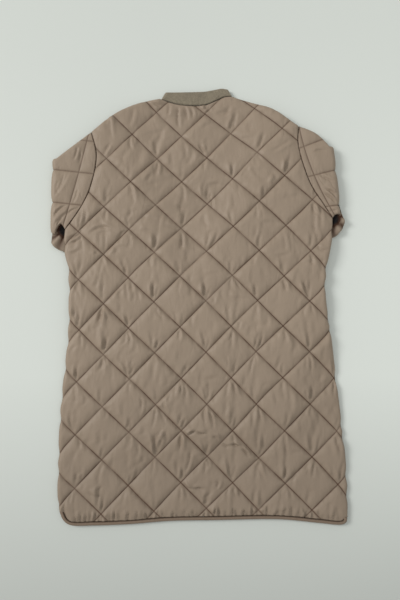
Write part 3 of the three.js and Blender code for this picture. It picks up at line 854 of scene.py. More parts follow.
class Nodes:
    """The node tree of one material."""

    def __init__(self, name: str) -> None:
        """Start a material with its shader and output."""
        self.material = bpy.data.materials.new(name)
        self.material.use_nodes = True
        self.tree = self.material.node_tree
        self.shader = self.tree.nodes["Principled BSDF"]

    def add(self, kind: str, settings: dict[str, object] | None = None,
            values: dict[object, object] | None = None, output: int | str = 0) -> Shade:
        """Add a node.

        Args:
            kind: the node's type.
            settings: what is set on the node itself.
            values: numbers, colours or sockets for its inputs.
            output: which of its outputs is wanted.

        Returns:
            That output, wrapped.
        """
        node = self.tree.nodes.new(kind)
        for name, setting in (settings or {}).items():
            setattr(node, name, setting)
        for name, value in (values or {}).items():
            self.feed(node.inputs[name], value)
        return Shade(self, node.outputs[output])

    def feed(self, socket: bpy.types.NodeSocket, value: object) -> None:
        """Link a socket to a wrapped output, or set its value."""
        if isinstance(value, Shade):
            self.tree.links.new(value.socket, socket)
        else:
            socket.default_value = value

    def blend(self, share: object, first: object, second: object, kind: str = "MIX") -> Shade:
        """Mix two colours.

        Args:
            share: how much of the second there is.
            first: a colour or socket.
            second: a colour or socket.
            kind: the way that they are mixed.

        Returns:
            The mixed colour.
        """
        node = self.tree.nodes.new("ShaderNodeMix")
        node.data_type, node.blend_type = "RGBA", kind
        for name, value in (("Factor_Float", share), ("A_Color", first), ("B_Color", second)):
            socket = next(s for s in node.inputs if s.identifier == name)
            self.feed(socket, value)
        return Shade(self, next(s for s in node.outputs if s.identifier == "Result_Color"))

    def finish(self, **values: object) -> bpy.types.Material:
        """Set or link the shader's sockets, named in plain words.

        Args:
            values: the shader's inputs, with underscores for spaces.

        Returns:
            The finished material.
        """
        for name, value in values.items():
            self.feed(self.shader.inputs[name.replace("_", " ").title().replace("Ior", "IOR")], value)
        return self.material


def linear(red: float, green: float, blue: float) -> tuple[float, float, float, float]:
    """Turn a colour of 0 to 255 into the shader's linear light."""
    def one(value: float) -> float:
        """Turn one channel."""
        share = value / 255
        return share / 12.92 if share <= 0.04045 else ((share + 0.055) / 1.055) ** 2.4
    return one(red), one(green), one(blue), 1.0


@dataclass(frozen=True)
class ShellCloth:
    """Smooth woven shell cloth with a soft sheen, darkened by painted shade down in its stitched grooves and
    seams, and towards the hem.
    """

    name: str = "shell_cloth"
    colour: tuple[float, float, float] = (155.5, 138.5, 121)
    # The colour of the painted shade down in grooves, seams and pleats
    groove: tuple[float, float, float] = (64, 35, 14)
    roughness: float = 0.5
    sheen: float = 0.05
    thread_pitch: float = 0.00042
    crinkle_depth: float = 0.0019

    def make(self) -> bpy.types.Material:
        """Build the material."""
        nodes = Nodes(self.name)
        place = nodes.add("ShaderNodeTexCoord", output="Object")
        cut = nodes.add("ShaderNodeUVMap", {"uv_map": "cut"})
        depth = nodes.add("ShaderNodeAttribute", {"attribute_name": "groove"}, output="Fac")
        broad = nodes.add("ShaderNodeTexNoise", values={"Vector": place, "Scale": 9.0, "Detail": 3.0})
        fine = nodes.add("ShaderNodeTexNoise", values={"Vector": place, "Scale": 70.0, "Detail": 4.0})
        split = nodes.add("ShaderNodeSeparateXYZ", values={"Vector": cut})
        across = split
        along = Shade(nodes, split.socket.node.outputs[1])
        turns = 2 * math.pi / self.thread_pitch
        weave = (across * turns).sine() * (along * turns).sine()
        slubs = nodes.add("ShaderNodeTexNoise", values={
            "Vector": nodes.add("ShaderNodeMapping", values={"Vector": cut, "Scale": (900.0, 60.0, 1.0)}),
            "Scale": 1.0, "Detail": 2.0})
        tone = nodes.blend(broad * 0.5 + fine * 0.3,
                           linear(*(0.965 * c for c in self.colour)), linear(*(1.03 * c for c in self.colour)))
        crinkle = nodes.add("ShaderNodeTexNoise", values={
            "Vector": nodes.add("ShaderNodeMapping", values={"Vector": place, "Scale": (78.0, 30.0, 1.0)}),
            "Scale": 1.0, "Detail": 2.5, "Distortion": 1.0})
        tone = nodes.blend(slubs * 0.14, tone, linear(*(0.86 * c for c in self.colour)))
        # Painted shade: the cloth grows darker towards the hem, lower down the object
        level = nodes.add("ShaderNodeSeparateXYZ", values={"Vector": place})
        skirt = Shade(nodes, level.socket.node.outputs[1]) * -3.4 - 0.2
        tone = nodes.blend(skirt, tone, linear(*(0.92 * c for c in self.colour)))
        # Painted shade: the groove attribute darkens the cloth towards the groove colour, and past 1 towards near
        # black in the hollow under each arm
        colour = nodes.blend(depth, tone, linear(*self.groove))
        colour = nodes.blend(depth - 1.0, colour, linear(10, 8, 8))
        height = crinkle + weave * 0.015 + slubs * 0.02 + fine * 0.3
        bump = nodes.add("ShaderNodeBump", values={
            "Strength": 0.6, "Distance": self.crinkle_depth, "Height": height})
        return nodes.finish(base_color=colour, roughness=self.roughness + 0.1 * (broad - 0.5) + 0.15 * depth,
                            normal=bump, sheen_weight=self.sheen, sheen_roughness=0.4,
                            specular_ior_level=0.3)


@dataclass(frozen=True)
class RibKnit:
    """Matt rib-knit band, with painted shade darkening the valleys between its ribs and the foot of the band."""

    name: str = "collar_knit"
    colour: tuple[float, float, float] = (156, 145, 125)
    # The colour of the painted shade between the ribs
    painted_valley_shade: tuple[float, float, float] = (80, 72, 59)
    loop_pitch: float = 0.0011

    def make(self) -> bpy.types.Material:
        """Build the material."""
        nodes = Nodes(self.name)
        place = nodes.add("ShaderNodeTexCoord", output="Object")
        cut = nodes.add("ShaderNodeUVMap", {"uv_map": "cut"})
        depth = nodes.add("ShaderNodeAttribute", {"attribute_name": "groove"}, output="Fac")
        fuzz = nodes.add("ShaderNodeTexNoise", values={"Vector": place, "Scale": 420.0, "Detail": 4.0})
        broad = nodes.add("ShaderNodeTexNoise", values={"Vector": place, "Scale": 45.0, "Detail": 3.0})
        split = nodes.add("ShaderNodeSeparateXYZ", values={"Vector": cut})
        up = Shade(nodes, split.socket.node.outputs[1])
        loops = (up * (2 * math.pi / self.loop_pitch) + split * 2600.0).sine()
        tone = nodes.blend(fuzz * 1.5 + broad * 1.1 - 0.8, linear(*(0.84 * c for c in self.colour)),
                           linear(*(1.13 * c for c in self.colour)))
        colour = nodes.blend(depth, tone, linear(*self.painted_valley_shade))
        bump = nodes.add("ShaderNodeBump", values={
            "Strength": 0.6, "Distance": 0.0003, "Height": loops * 0.3 + fuzz * 0.8})
        return nodes.finish(base_color=colour, roughness=0.92, normal=bump, sheen_weight=0.25,
                            sheen_roughness=0.6, specular_ior_level=0.2)


@dataclass(frozen=True)
class SewingThread:
    """Twisted thread, a little darker than the cloth."""

    name: str = "sewing_thread"
    colour: tuple[float, float, float] = (80, 58, 42)

    def make(self) -> bpy.types.Material:
        """Build the material."""
        nodes = Nodes(self.name)
        place = nodes.add("ShaderNodeTexCoord", output="Object")
        fuzz = nodes.add("ShaderNodeTexNoise", values={"Vector": place, "Scale": 900.0, "Detail": 2.0})
        colour = nodes.blend(fuzz, linear(*(0.8 * c for c in self.colour)),
                             linear(*(1.15 * c for c in self.colour)))
        return nodes.finish(base_color=colour, roughness=0.7, specular_ior_level=0.3)


@dataclass(frozen=True)
class PaleFloor:
    """The plain pale surface that the jacket lies on, its colour darkened by painted shade towards the bottom and
    the top and lifted by painted light towards the right.
    """

    name: str = "pale_floor"
    colour: tuple[float, float, float] = (221, 226, 221)

    def make(self) -> bpy.types.Material:
        """Build the material."""
        nodes = Nodes(self.name)
        place = nodes.add("ShaderNodeTexCoord", output="Object")
        split = nodes.add("ShaderNodeSeparateXYZ", values={"Vector": place})
        along = Shade(nodes, split.socket.node.outputs[1])
        # Painted shade: the floor darkens towards the bottom and a little towards the top; painted light makes it
        # a little brighter towards the right
        low = nodes.add("ShaderNodeMapRange", values={"Value": along, 1: -0.15, 2: -0.62, 3: 0.0, 4: 1.0})
        high = nodes.add("ShaderNodeMapRange", values={"Value": along, 1: 0.1, 2: 0.6, 3: 0.0, 4: 0.22})
        right = nodes.add("ShaderNodeMapRange", values={"Value": split, 1: -0.1, 2: 0.4, 3: 0.0, 4: 1.0})
        base = nodes.blend(right, linear(*self.colour), linear(*(1.03 * c for c in self.colour)))
        colour = nodes.blend(low, base, linear(*(0.86 * c for c in self.colour)))
        colour = nodes.blend(high, colour, linear(*(0.86 * c for c in self.colour)))
        return nodes.finish(base_color=colour, roughness=0.85, specular_ior_level=0.15)


class Finish(Enum):
    """The finishes of the jacket and its surroundings."""

    SHELL = ShellCloth()
    # The tape's groove colour is its painted shade along the seam and stitching
    BINDING = ShellCloth(name="hem_tape_cloth", colour=(137, 118, 101), groove=(90, 76, 64), roughness=0.42)
    RIB = RibKnit()
    THREAD = SewingThread()
    FLOOR = PaleFloor()

    def material(self) -> bpy.types.Material:
        """Give the material, made the first time that it is wanted."""
        return bpy.data.materials.get(self.value.name) or self.value.make()


# Meshes

def to_array(verts: bmesh.types.BMVertSeq) -> Points:
    """Read the places of a mesh's vertices."""
    return np.array([vert.co[:] for vert in verts], dtype=float)


def put(verts: list[bmesh.types.BMVert], where: Points) -> None:
    """Move vertices to new places."""
    for vert, spot in zip(verts, where.tolist()):
        vert.co = spot


def make_object(name: str, bm: bmesh.types.BMesh, finish: Finish, cut: Points | None = None,
                groove: Values | None = None) -> bpy.types.Object:
    """Turn a mesh in mm into a finished object in metres.

    Args:
        name: the piece's name.
        bm: its mesh, which is freed.
        finish: its material.
        cut: for each vertex its place on the flat cut piece, in mm.
        groove: for each vertex its painted shade down in stitched grooves, seams and folds, mostly from 0 to 1,
            above 1 where it is painted near black.

    Returns:
        The object, at the origin.
    """
    bmesh.ops.scale(bm, vec=(METRES,) * 3, verts=bm.verts)
    mesh = bpy.data.meshes.new(name)
    bm.to_mesh(mesh)
    bm.free()
    if cut is not None:
        corners = np.empty(len(mesh.loops), dtype=np.int32)
        mesh.loops.foreach_get("vertex_index", corners)
        layer = mesh.uv_layers.new(name="cut")
        layer.data.foreach_set("uv", (cut[corners] * METRES).astype(np.float32).ravel())
    if groove is not None:
        depth = mesh.attributes.new("groove", "FLOAT", "POINT")
        depth.data.foreach_set("value", groove.astype(np.float32))
    mesh.polygons.foreach_set("use_smooth", [True] * len(mesh.polygons))
    mesh.materials.append(finish.material())
    piece = bpy.data.objects.new(name, mesh)
    bpy.context.scene.collection.objects.link(piece)
    mesh.calc_loop_triangles()
    LOG.info("%s: %d triangles", name, len(mesh.loop_triangles))
    return piece


def grid(rows: int, columns: int) -> tuple[bmesh.types.BMesh, Values, Values]:
    """Start a mesh as a flat grid.

    Args:
        rows: cells along its length.
        columns: cells across it.

    Returns:
        The mesh, and for each vertex its whole row and column.
    """
    bm = bmesh.new()
    bmesh.ops.create_grid(bm, x_segments=columns, y_segments=rows, size=1.0)
    where = to_array(bm.verts)
    found = len(np.unique(np.round(where[:, 0], 6))) - 1
    assert found == columns, f"the grid has {found} columns, not {columns}"
    row = np.round((where[:, 1] + 1) / 2 * rows).astype(int)
    column = np.round((where[:, 0] + 1) / 2 * columns).astype(int)
    return bm, row, column


class Stitcher:
    """Lays small threads along sewn lines and joins them into one piece."""

    def __init__(self, length: float = 2.9, pitch: float = 3.8, radius: float = 0.28,
                 facing: int = 1) -> None:
        """Set the stitch length, the distance between two, the thread's radius and the side it shows on."""
        self.length, self.pitch, self.radius, self.facing = length, pitch, radius, facing
        self.stitches: list[tuple[Points, Points, Points]] = []

    def sew(self, line: Points) -> None:
        """Lay stitches along a line of points in space, in mm."""
        count = int(np.linalg.norm(np.diff(line, axis=0), axis=1).sum() / self.pitch)
        if count < 1:
            return
        stops = spaced(line, count * 4)
        for k in range(count):
            self.stitches.append((stops[4 * k], stops[4 * k + 1], stops[4 * k + 3]))

    def piece(self, name: str) -> bpy.types.Object:
        """Make the object that holds all its stitches."""
        bm = bmesh.new()
        bmesh.ops.create_cone(bm, cap_ends=True, segments=5, radius1=self.radius, radius2=self.radius,
                              depth=self.length)
        bmesh.ops.rotate(bm, matrix=Matrix.Rotation(math.pi / 2, 3, "Y"), verts=bm.verts)
        single = bpy.data.meshes.new("stitch")
        bm.to_mesh(single)
        bm.free()
        base = to_array(single.vertices)
        bm = bmesh.new()
        for _ in self.stitches:
            bm.from_mesh(single)
        starts = np.array([stitch[0] for stitch in self.stitches])
        ends = np.array([stitch[2] for stitch in self.stitches])
        ahead = ends - starts
        ahead /= np.linalg.norm(ahead, axis=1, keepdims=True)
        beside = np.cross(np.array([0.0, 0.0, 1.0]), ahead)
        beside /= np.linalg.norm(beside, axis=1, keepdims=True)
        over = np.cross(ahead, beside)
        middle = (starts + ends) / 2
        dip = -0.35 * self.facing * (np.abs(base[:, 0]) / (self.length / 2)) ** 2
        where = (middle[:, None] + base[None, :, 0:1] * ahead[:, None] + base[None, :, 1:2] * beside[:, None]
                 + (base[None, :, 2:3] + dip[None, :, None]) * over[:, None])
        put(list(bm.verts), where.reshape(-1, 3))
        bpy.data.meshes.remove(single)
        return make_object(name, bm, Finish.THREAD)


@dataclass
class QuiltedPanel:
    """A quilted panel of the body: a raised outer skin over a plain inside.

    Attributes:
        node: the CAD node that it stands for.
        outline: its edge, a closed loop in mm.
        cells: how many cells there are along one side of a quilt square.
        outer: gives the outer skin's height at points in mm.
        inner: gives the plain inside's height.
        easing: how much finer the cells are beside a stitch line.
        rings: the widths of the narrow cells laid along the edge, in mm.
    """

    node: str
    outline: Points
    cells: int
    outer: Callable[[Points, Values], Values]
    inner: Callable[[Points], Values]
    easing: float = 0.4
    rings: tuple[float, ...] = (0.7, 1.1)

    def build(self) -> bpy.types.Object:
        """Build the panel as a closed wall."""
        bm = self.outer_skin()
        flat = to_array(bm.verts)[:, :2]
        self.close_inside(bm)
        where = to_array(bm.verts)[:, :2]
        side = bm.verts.layers.int["inside"]
        is_inside = np.array([vert[side] for vert in bm.verts], dtype=bool)
        from_edge, _ = nearest(where, self.outline)
        from_edge[from_edge < 0.02] = 0.0
        heights = np.where(is_inside, self.inner(where), self.outer(where, from_edge))
        heights = np.where(from_edge == 0.0, self.inner(where), heights)
        moved = scalloped(where)
        put(list(bm.verts), np.column_stack([moved, heights]))
        # Painted shade down in the stitch grooves and along the sewn edges, on the outer skin only
        depth = np.maximum(painted_groove_shade(where), edge_shade(where) * np.exp(-(from_edge / 0.9) ** 2))
        depth *= 1 - is_inside
        LOG.info("%s: %d points on its outer skin", self.node, len(flat))
        return make_object(f"{self.node}_cloth", bm, Finish.SHELL, where, depth)

    def outer_skin(self) -> bmesh.types.BMesh:
        """Lay a grid along the quilt lines and trim it to the outline."""
        p, q = QUILT.count(self.outline)
        low_p, low_q = math.floor(p.min()) - 1, math.floor(q.min()) - 1
        high_p, high_q = math.ceil(p.max()) + 1, math.ceil(q.max()) + 1
        bm, row, column = grid((high_q - low_q) * self.cells, (high_p - low_p) * self.cells)
        where = QUILT.place(self.eased(column, low_p), self.eased(row, low_q))
        put(list(bm.verts), np.column_stack([where, np.zeros(len(where))]))
        bm.verts.index_update()
        corners = np.array([[vert.index for vert in face.verts] for face in bm.faces])
        kept = inside(where[corners].mean(axis=1), self.outline)
        bmesh.ops.delete(bm, geom=[face for face, keep in zip(bm.faces, kept) if not keep], context="FACES")
        rim = [vert for vert in bm.verts if vert.is_boundary]
        _, spots = nearest(to_array(rim)[:, :2], self.outline)
        put(rim, np.column_stack([spots, np.zeros(len(rim))]))
        cells = list(bm.faces)
        for width in self.rings:
            bmesh.ops.inset_region(bm, faces=cells, use_boundary=True, thickness=width)
        sewn = {vert for face in set(bm.faces) - set(cells) for vert in face.verts}
        ring = {edge.other_vert(vert) for vert in sewn for edge in vert.link_edges} - sewn
        second = {edge.other_vert(vert) for vert in ring for edge in vert.link_edges} - sewn
        for _ in range(4):
            bmesh.ops.smooth_vert(bm, verts=list(ring | second), factor=0.5, use_axis_x=True,
                                  use_axis_y=True, use_axis_z=False)
        bmesh.ops.recalc_face_normals(bm, faces=bm.faces)
        if sum(face.normal.z for face in bm.faces) < 0:
            bmesh.ops.reverse_faces(bm, faces=bm.faces)
        return bm

    def eased(self, step: Values, low: int) -> Values:
        """Turn grid steps into counts of squares, closer together beside the stitch lines."""
        share = (step % self.cells) / self.cells
        return low + step // self.cells + share - self.easing * np.sin(2 * math.pi * share) / (2 * math.pi)

    def close_inside(self, bm: bmesh.types.BMesh) -> None:
        """Add the plain inside, thinned where it is flat, and join it to the outer skin."""
        side = bm.verts.layers.int.new("inside")
        copied = bmesh.ops.duplicate(bm, geom=list(bm.faces))["geom"]
        inner_faces = [item for item in copied if isinstance(item, bmesh.types.BMFace)]
        inner_verts = [item for item in copied if isinstance(item, bmesh.types.BMVert)]
        bmesh.ops.reverse_faces(bm, faces=inner_faces)
        where = to_array(inner_verts)[:, :2]
        put(inner_verts, np.column_stack([where, self.inner(where)]))
        loose = [vert for vert in inner_verts if not vert.is_boundary]
        for vert in loose:
            vert[side] = 1
        between = {edge for vert in loose for edge in vert.link_edges}
        bmesh.ops.dissolve_limit(bm, angle_limit=0.004, use_dissolve_boundaries=False, verts=loose,
                                 edges=list(between), delimit=set())
        rim = [vert for vert in bm.verts if vert.is_boundary]
        for vert in rim:
            vert.co.z = 0.0
        bmesh.ops.remove_doubles(bm, verts=rim, dist=0.001)
        bmesh.ops.triangulate(bm, faces=[face for face in bm.faces if len(face.verts) > 4])


def edge_shade(where: Points) -> Values:
    """Tell how much painted shade darkens the cloth right at a panel's edge: most at the armholes and the hem."""
    x, y = where[:, 0], where[:, 1]
    armhole = (np.abs(x) > 190) & (y > 140) & (y < 350)
    neck = (np.abs(x) < 76) & (y > 385)
    hem = (y < -412) & (x > -258) & (x < 282)
    return np.select([armhole, neck, hem], [0.95, 0.4, 0.75], 0.15) * (0.8 + 0.3 * soft_waves(where, 61, 8))


def edge_radius(where: Points) -> Values:
    """Give the rounding of a panel's edge in mm: tight where it is sewn down, full at the sides."""
    return mix(7.5, 2.0, sewn_down(where))


def sewn_down(where: Points) -> Values:
    """Tell where a seam holds the panel's edge down: 1 at the neck, armholes and hem, 0 at the sides."""
    x, y = where[:, 0], where[:, 1]
    neck = smooth((80 - np.abs(x)) / 6) * (y > 380)
    armhole = (np.abs(x) > 180) * smooth((y - 132) / 12) * smooth((356 - y) / 8)
    hem = smooth((-402 - y) / 8)
    return np.maximum(np.maximum(neck, armhole), hem)


def scalloped(where: Points) -> Points:
    """Draw the side seams in where a quilt line meets them."""
    result = where.copy()
    across_p, across_q = QUILT.distances(where)
    pull = np.exp(-(np.minimum(across_p, across_q) / 8.0) ** 2)
    for side in SIDES:
        away, _ = nearest(where, curve_through(side.seam), closed=False)
        ends = smooth((side.seam[0, 1] - 12 - where[:, 1]) / 20) * smooth((where[:, 1] + 408) / 15)
        result[:, 0] -= side.outward * BODY.scallop * pull * (1 - smooth(away / 16)) * ends
    return result


def painted_groove_shade(where: Points) -> Values:
    """Give the painted shade down in the groove of each stitch line, from 0 to 1, with a broader, fainter painted
    shade beside the lines, more beside the second set.
    """
    across_p, across_q = QUILT.distances(where)
    close = np.minimum(across_p, across_q)
    line = np.maximum(0.78 * np.exp(-(across_p / 0.8) ** 2), 0.85 * np.exp(-(across_q / 0.8) ** 2))
    line = line * (0.85 + 0.3 * soft_waves(where, 62, 45))
    soft = np.maximum(0.1 * np.exp(-(close / 3.0) ** 2), 0.17 * np.exp(-(across_q / 3.4) ** 2))
    return np.clip(line + soft, 0, 1)


def stitch_puckers(where: Points) -> Values:
    """Give the small ripples that the stitches draw into the cloth beside them, in mm."""
    p, q = QUILT.count(where)
    total = np.zeros(len(where))
    for across, along, shift in ((p, q, 0.7), (q, p, 2.9)):
        line = np.round(across)
        away = np.abs(across - line) * 71.5
        travelled = along * 71.5
        ripple = sum(np.sin(travelled / pace + line * turn + shift)
                     for pace, turn in ((2.1, 1.7), (3.3, 4.1), (5.6, 2.3), (9.0, 5.2)))
        total += 0.2 * ripple * np.exp(-(away / 7.5) ** 2) * smooth(away / 1.5)
    return total


def square_dice(where: Points, seed: int) -> Values:
    """Give each quilt square a number of its own from 0 to 1."""
    p, q = QUILT.count(where)
    mixed = np.sin(np.floor(p) * 127.1 + np.floor(q) * 311.7 + seed * 74.7) * 43758.5453
    return mixed - np.floor(mixed)


@dataclass
class Back:
    """The back panel, from the neck seam to the bound hem."""

    puff: float = 4.0
    pillow_reach: float = 22.0
    pillow_power: float = 3.2
    cells: int = 29
    creases: BackCreases = field(default_factory=BackCreases)

    def __post_init__(self) -> None:
        """List the creases once."""
        self.folds = self.creases.every()

    def inner_height(self, where: Points) -> Values:
        """Height of the plain inside, just above the fronts."""
        return BODY.lift_at(where) + INSIDE_LEVEL

    def outer_height(self, where: Points, from_edge: Values) -> Values:
        """Height of the quilted outer face.

        Args:
            where: points in mm.
            from_edge: their distances to the panel's edge.

        Returns:
            Heights in mm.
        """
        across_p, across_q = QUILT.distances(where)
        close = np.minimum(across_p, across_q)

        def rise(away: Values) -> Values:
            """Round the cloth up from a stitch line."""
            return 1 - (1 - np.clip(away / self.pillow_reach, 0, 1)) ** self.pillow_power

        p, q = QUILT.count(where)
        lean = (1 + 0.9 * (square_dice(where, 5) - 0.5) * (p % 1 - 0.5) * 2
                + 0.9 * (square_dice(where, 8) - 0.5) * (q % 1 - 0.5) * 2)
        fullness = rise(across_p) * rise(across_q) * (0.8 + 0.4 * square_dice(where, 3)) * lean
        free = 0.25 + 0.75 * smooth(close / 6.0)
        creased = (2.2 * crease_field(where, self.folds) + 0.6 * soft_waves(where, 5, 85, 1.6)
                   + 0.25 * soft_waves(where, 6, 26, 2.6)
                   + 0.75 * curled_creases(where, 23, 46, 2.4) + 0.4 * curled_creases(where, 31, 27, 1.7))
        drawn_down = 1 - 0.45 * sewn_down(where) * np.exp(-(from_edge / 8) ** 2)
        wall = drawn_down * (STITCHED_WALL + self.puff * fullness + free * creased + stitch_puckers(where)
                             - 0.7 * np.exp(-(close / 1.2) ** 2))
        rounding = np.sqrt(1 - (1 - np.clip(from_edge / edge_radius(where), 0, 1)) ** 2)
        return self.inner_height(where) + np.maximum(wall, 0.8) * rounding

    def build(self) -> list[bpy.types.Object]:
        """Build the panel and its quilting stitches."""
        outline = BODY.back_outline()
        cloth = QuiltedPanel("back", outline, self.cells, self.outer_height, self.inner_height).build()
        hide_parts("back")
        stitcher = Stitcher()
        for line in quilt_lines(outline):
            from_edge, _ = nearest(line, outline)
            height = self.outer_height(line, from_edge) + 0.05
            stitcher.sew(np.column_stack([scalloped(line), height]))
        threads = stitcher.piece("back_quilting_thread")
        plan_area(outline)
        return [cloth, threads]


@dataclass
class Front:
    """One front panel, face down under the back."""

    side: SleeveSide
    edge_radius: float = 9.0
    groove: float = 1.5
    cells: int = 14

    def inner_height(self, where: Points) -> Values:
        """Height of the plain inside."""
        return BODY.lift_at(where) + FRONT_WALL

    def outer_height(self, where: Points, from_edge: Values) -> Values:
        """Height of the outer face, which lies flat and rounds up to the seams.

        Args:
            where: points in mm.
            from_edge: their distances to the panel's edge.

        Returns:
            Heights in mm.
        """
        across_p, across_q = QUILT.distances(where)
        close = np.minimum(across_p, across_q)
        rounding = np.sqrt(1 - (1 - np.clip(from_edge / self.edge_radius, 0, 1)) ** 2)
        groove = self.groove * np.exp(-(close / 3.2) ** 1.4) * rounding
        return BODY.lift_at(where) + FRONT_WALL * (1 - rounding) + groove

    def build(self) -> list[bpy.types.Object]:
        """Build the panel and its quilting stitches."""
        outline = BODY.front_outline(self.side)
        node = f"front_{self.side.name}"
        cloth = QuiltedPanel(node, outline, self.cells, self.outer_height, self.inner_height).build()
        cloth.data.flip_normals()
        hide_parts(node)
        stitcher = Stitcher(facing=-1)
        for line in quilt_lines(outline):
            from_edge, _ = nearest(line, outline)
            stitcher.sew(np.column_stack([scalloped(line), self.outer_height(line, from_edge) - 0.05]))
        threads = stitcher.piece(f"{node}_quilting_thread")
        plan_area(outline)
        return [cloth, threads]


def quilt_lines(outline: Points) -> list[Points]:
    """Trace the stretches of every stitch line that lie on a panel.

    Args:
        outline: the panel's edge.

    Returns:
        Lines of points in mm.
    """
    p, q = QUILT.count(outline)
    lines = []
    for fixed, free, is_p in ((p, q, True), (q, p, False)):
        for count in range(math.ceil(fixed.min()), math.floor(fixed.max()) + 1):
            steps = np.arange(free.min(), free.max(), 0.02)
            held = np.full(len(steps), float(count))
            line = QUILT.place(held, steps) if is_p else QUILT.place(steps, held)
            away, _ = nearest(line, outline)
            kept = inside(line, outline) & (away > 2.0)
            breaks = np.flatnonzero(np.diff(np.flatnonzero(kept)) > 1) + 1
            lines += [line[run] for run in np.split(np.flatnonzero(kept), breaks) if len(run) > 3]
    return lines


def plan_area(outline: Points) -> float:
    """Area inside an outline in mm, in square metres."""
    x, y = outline[:, 0], outline[:, 1]
    return abs(float(np.sum(x * np.roll(y, -1) - y * np.roll(x, -1)))) / 2 * METRES ** 2


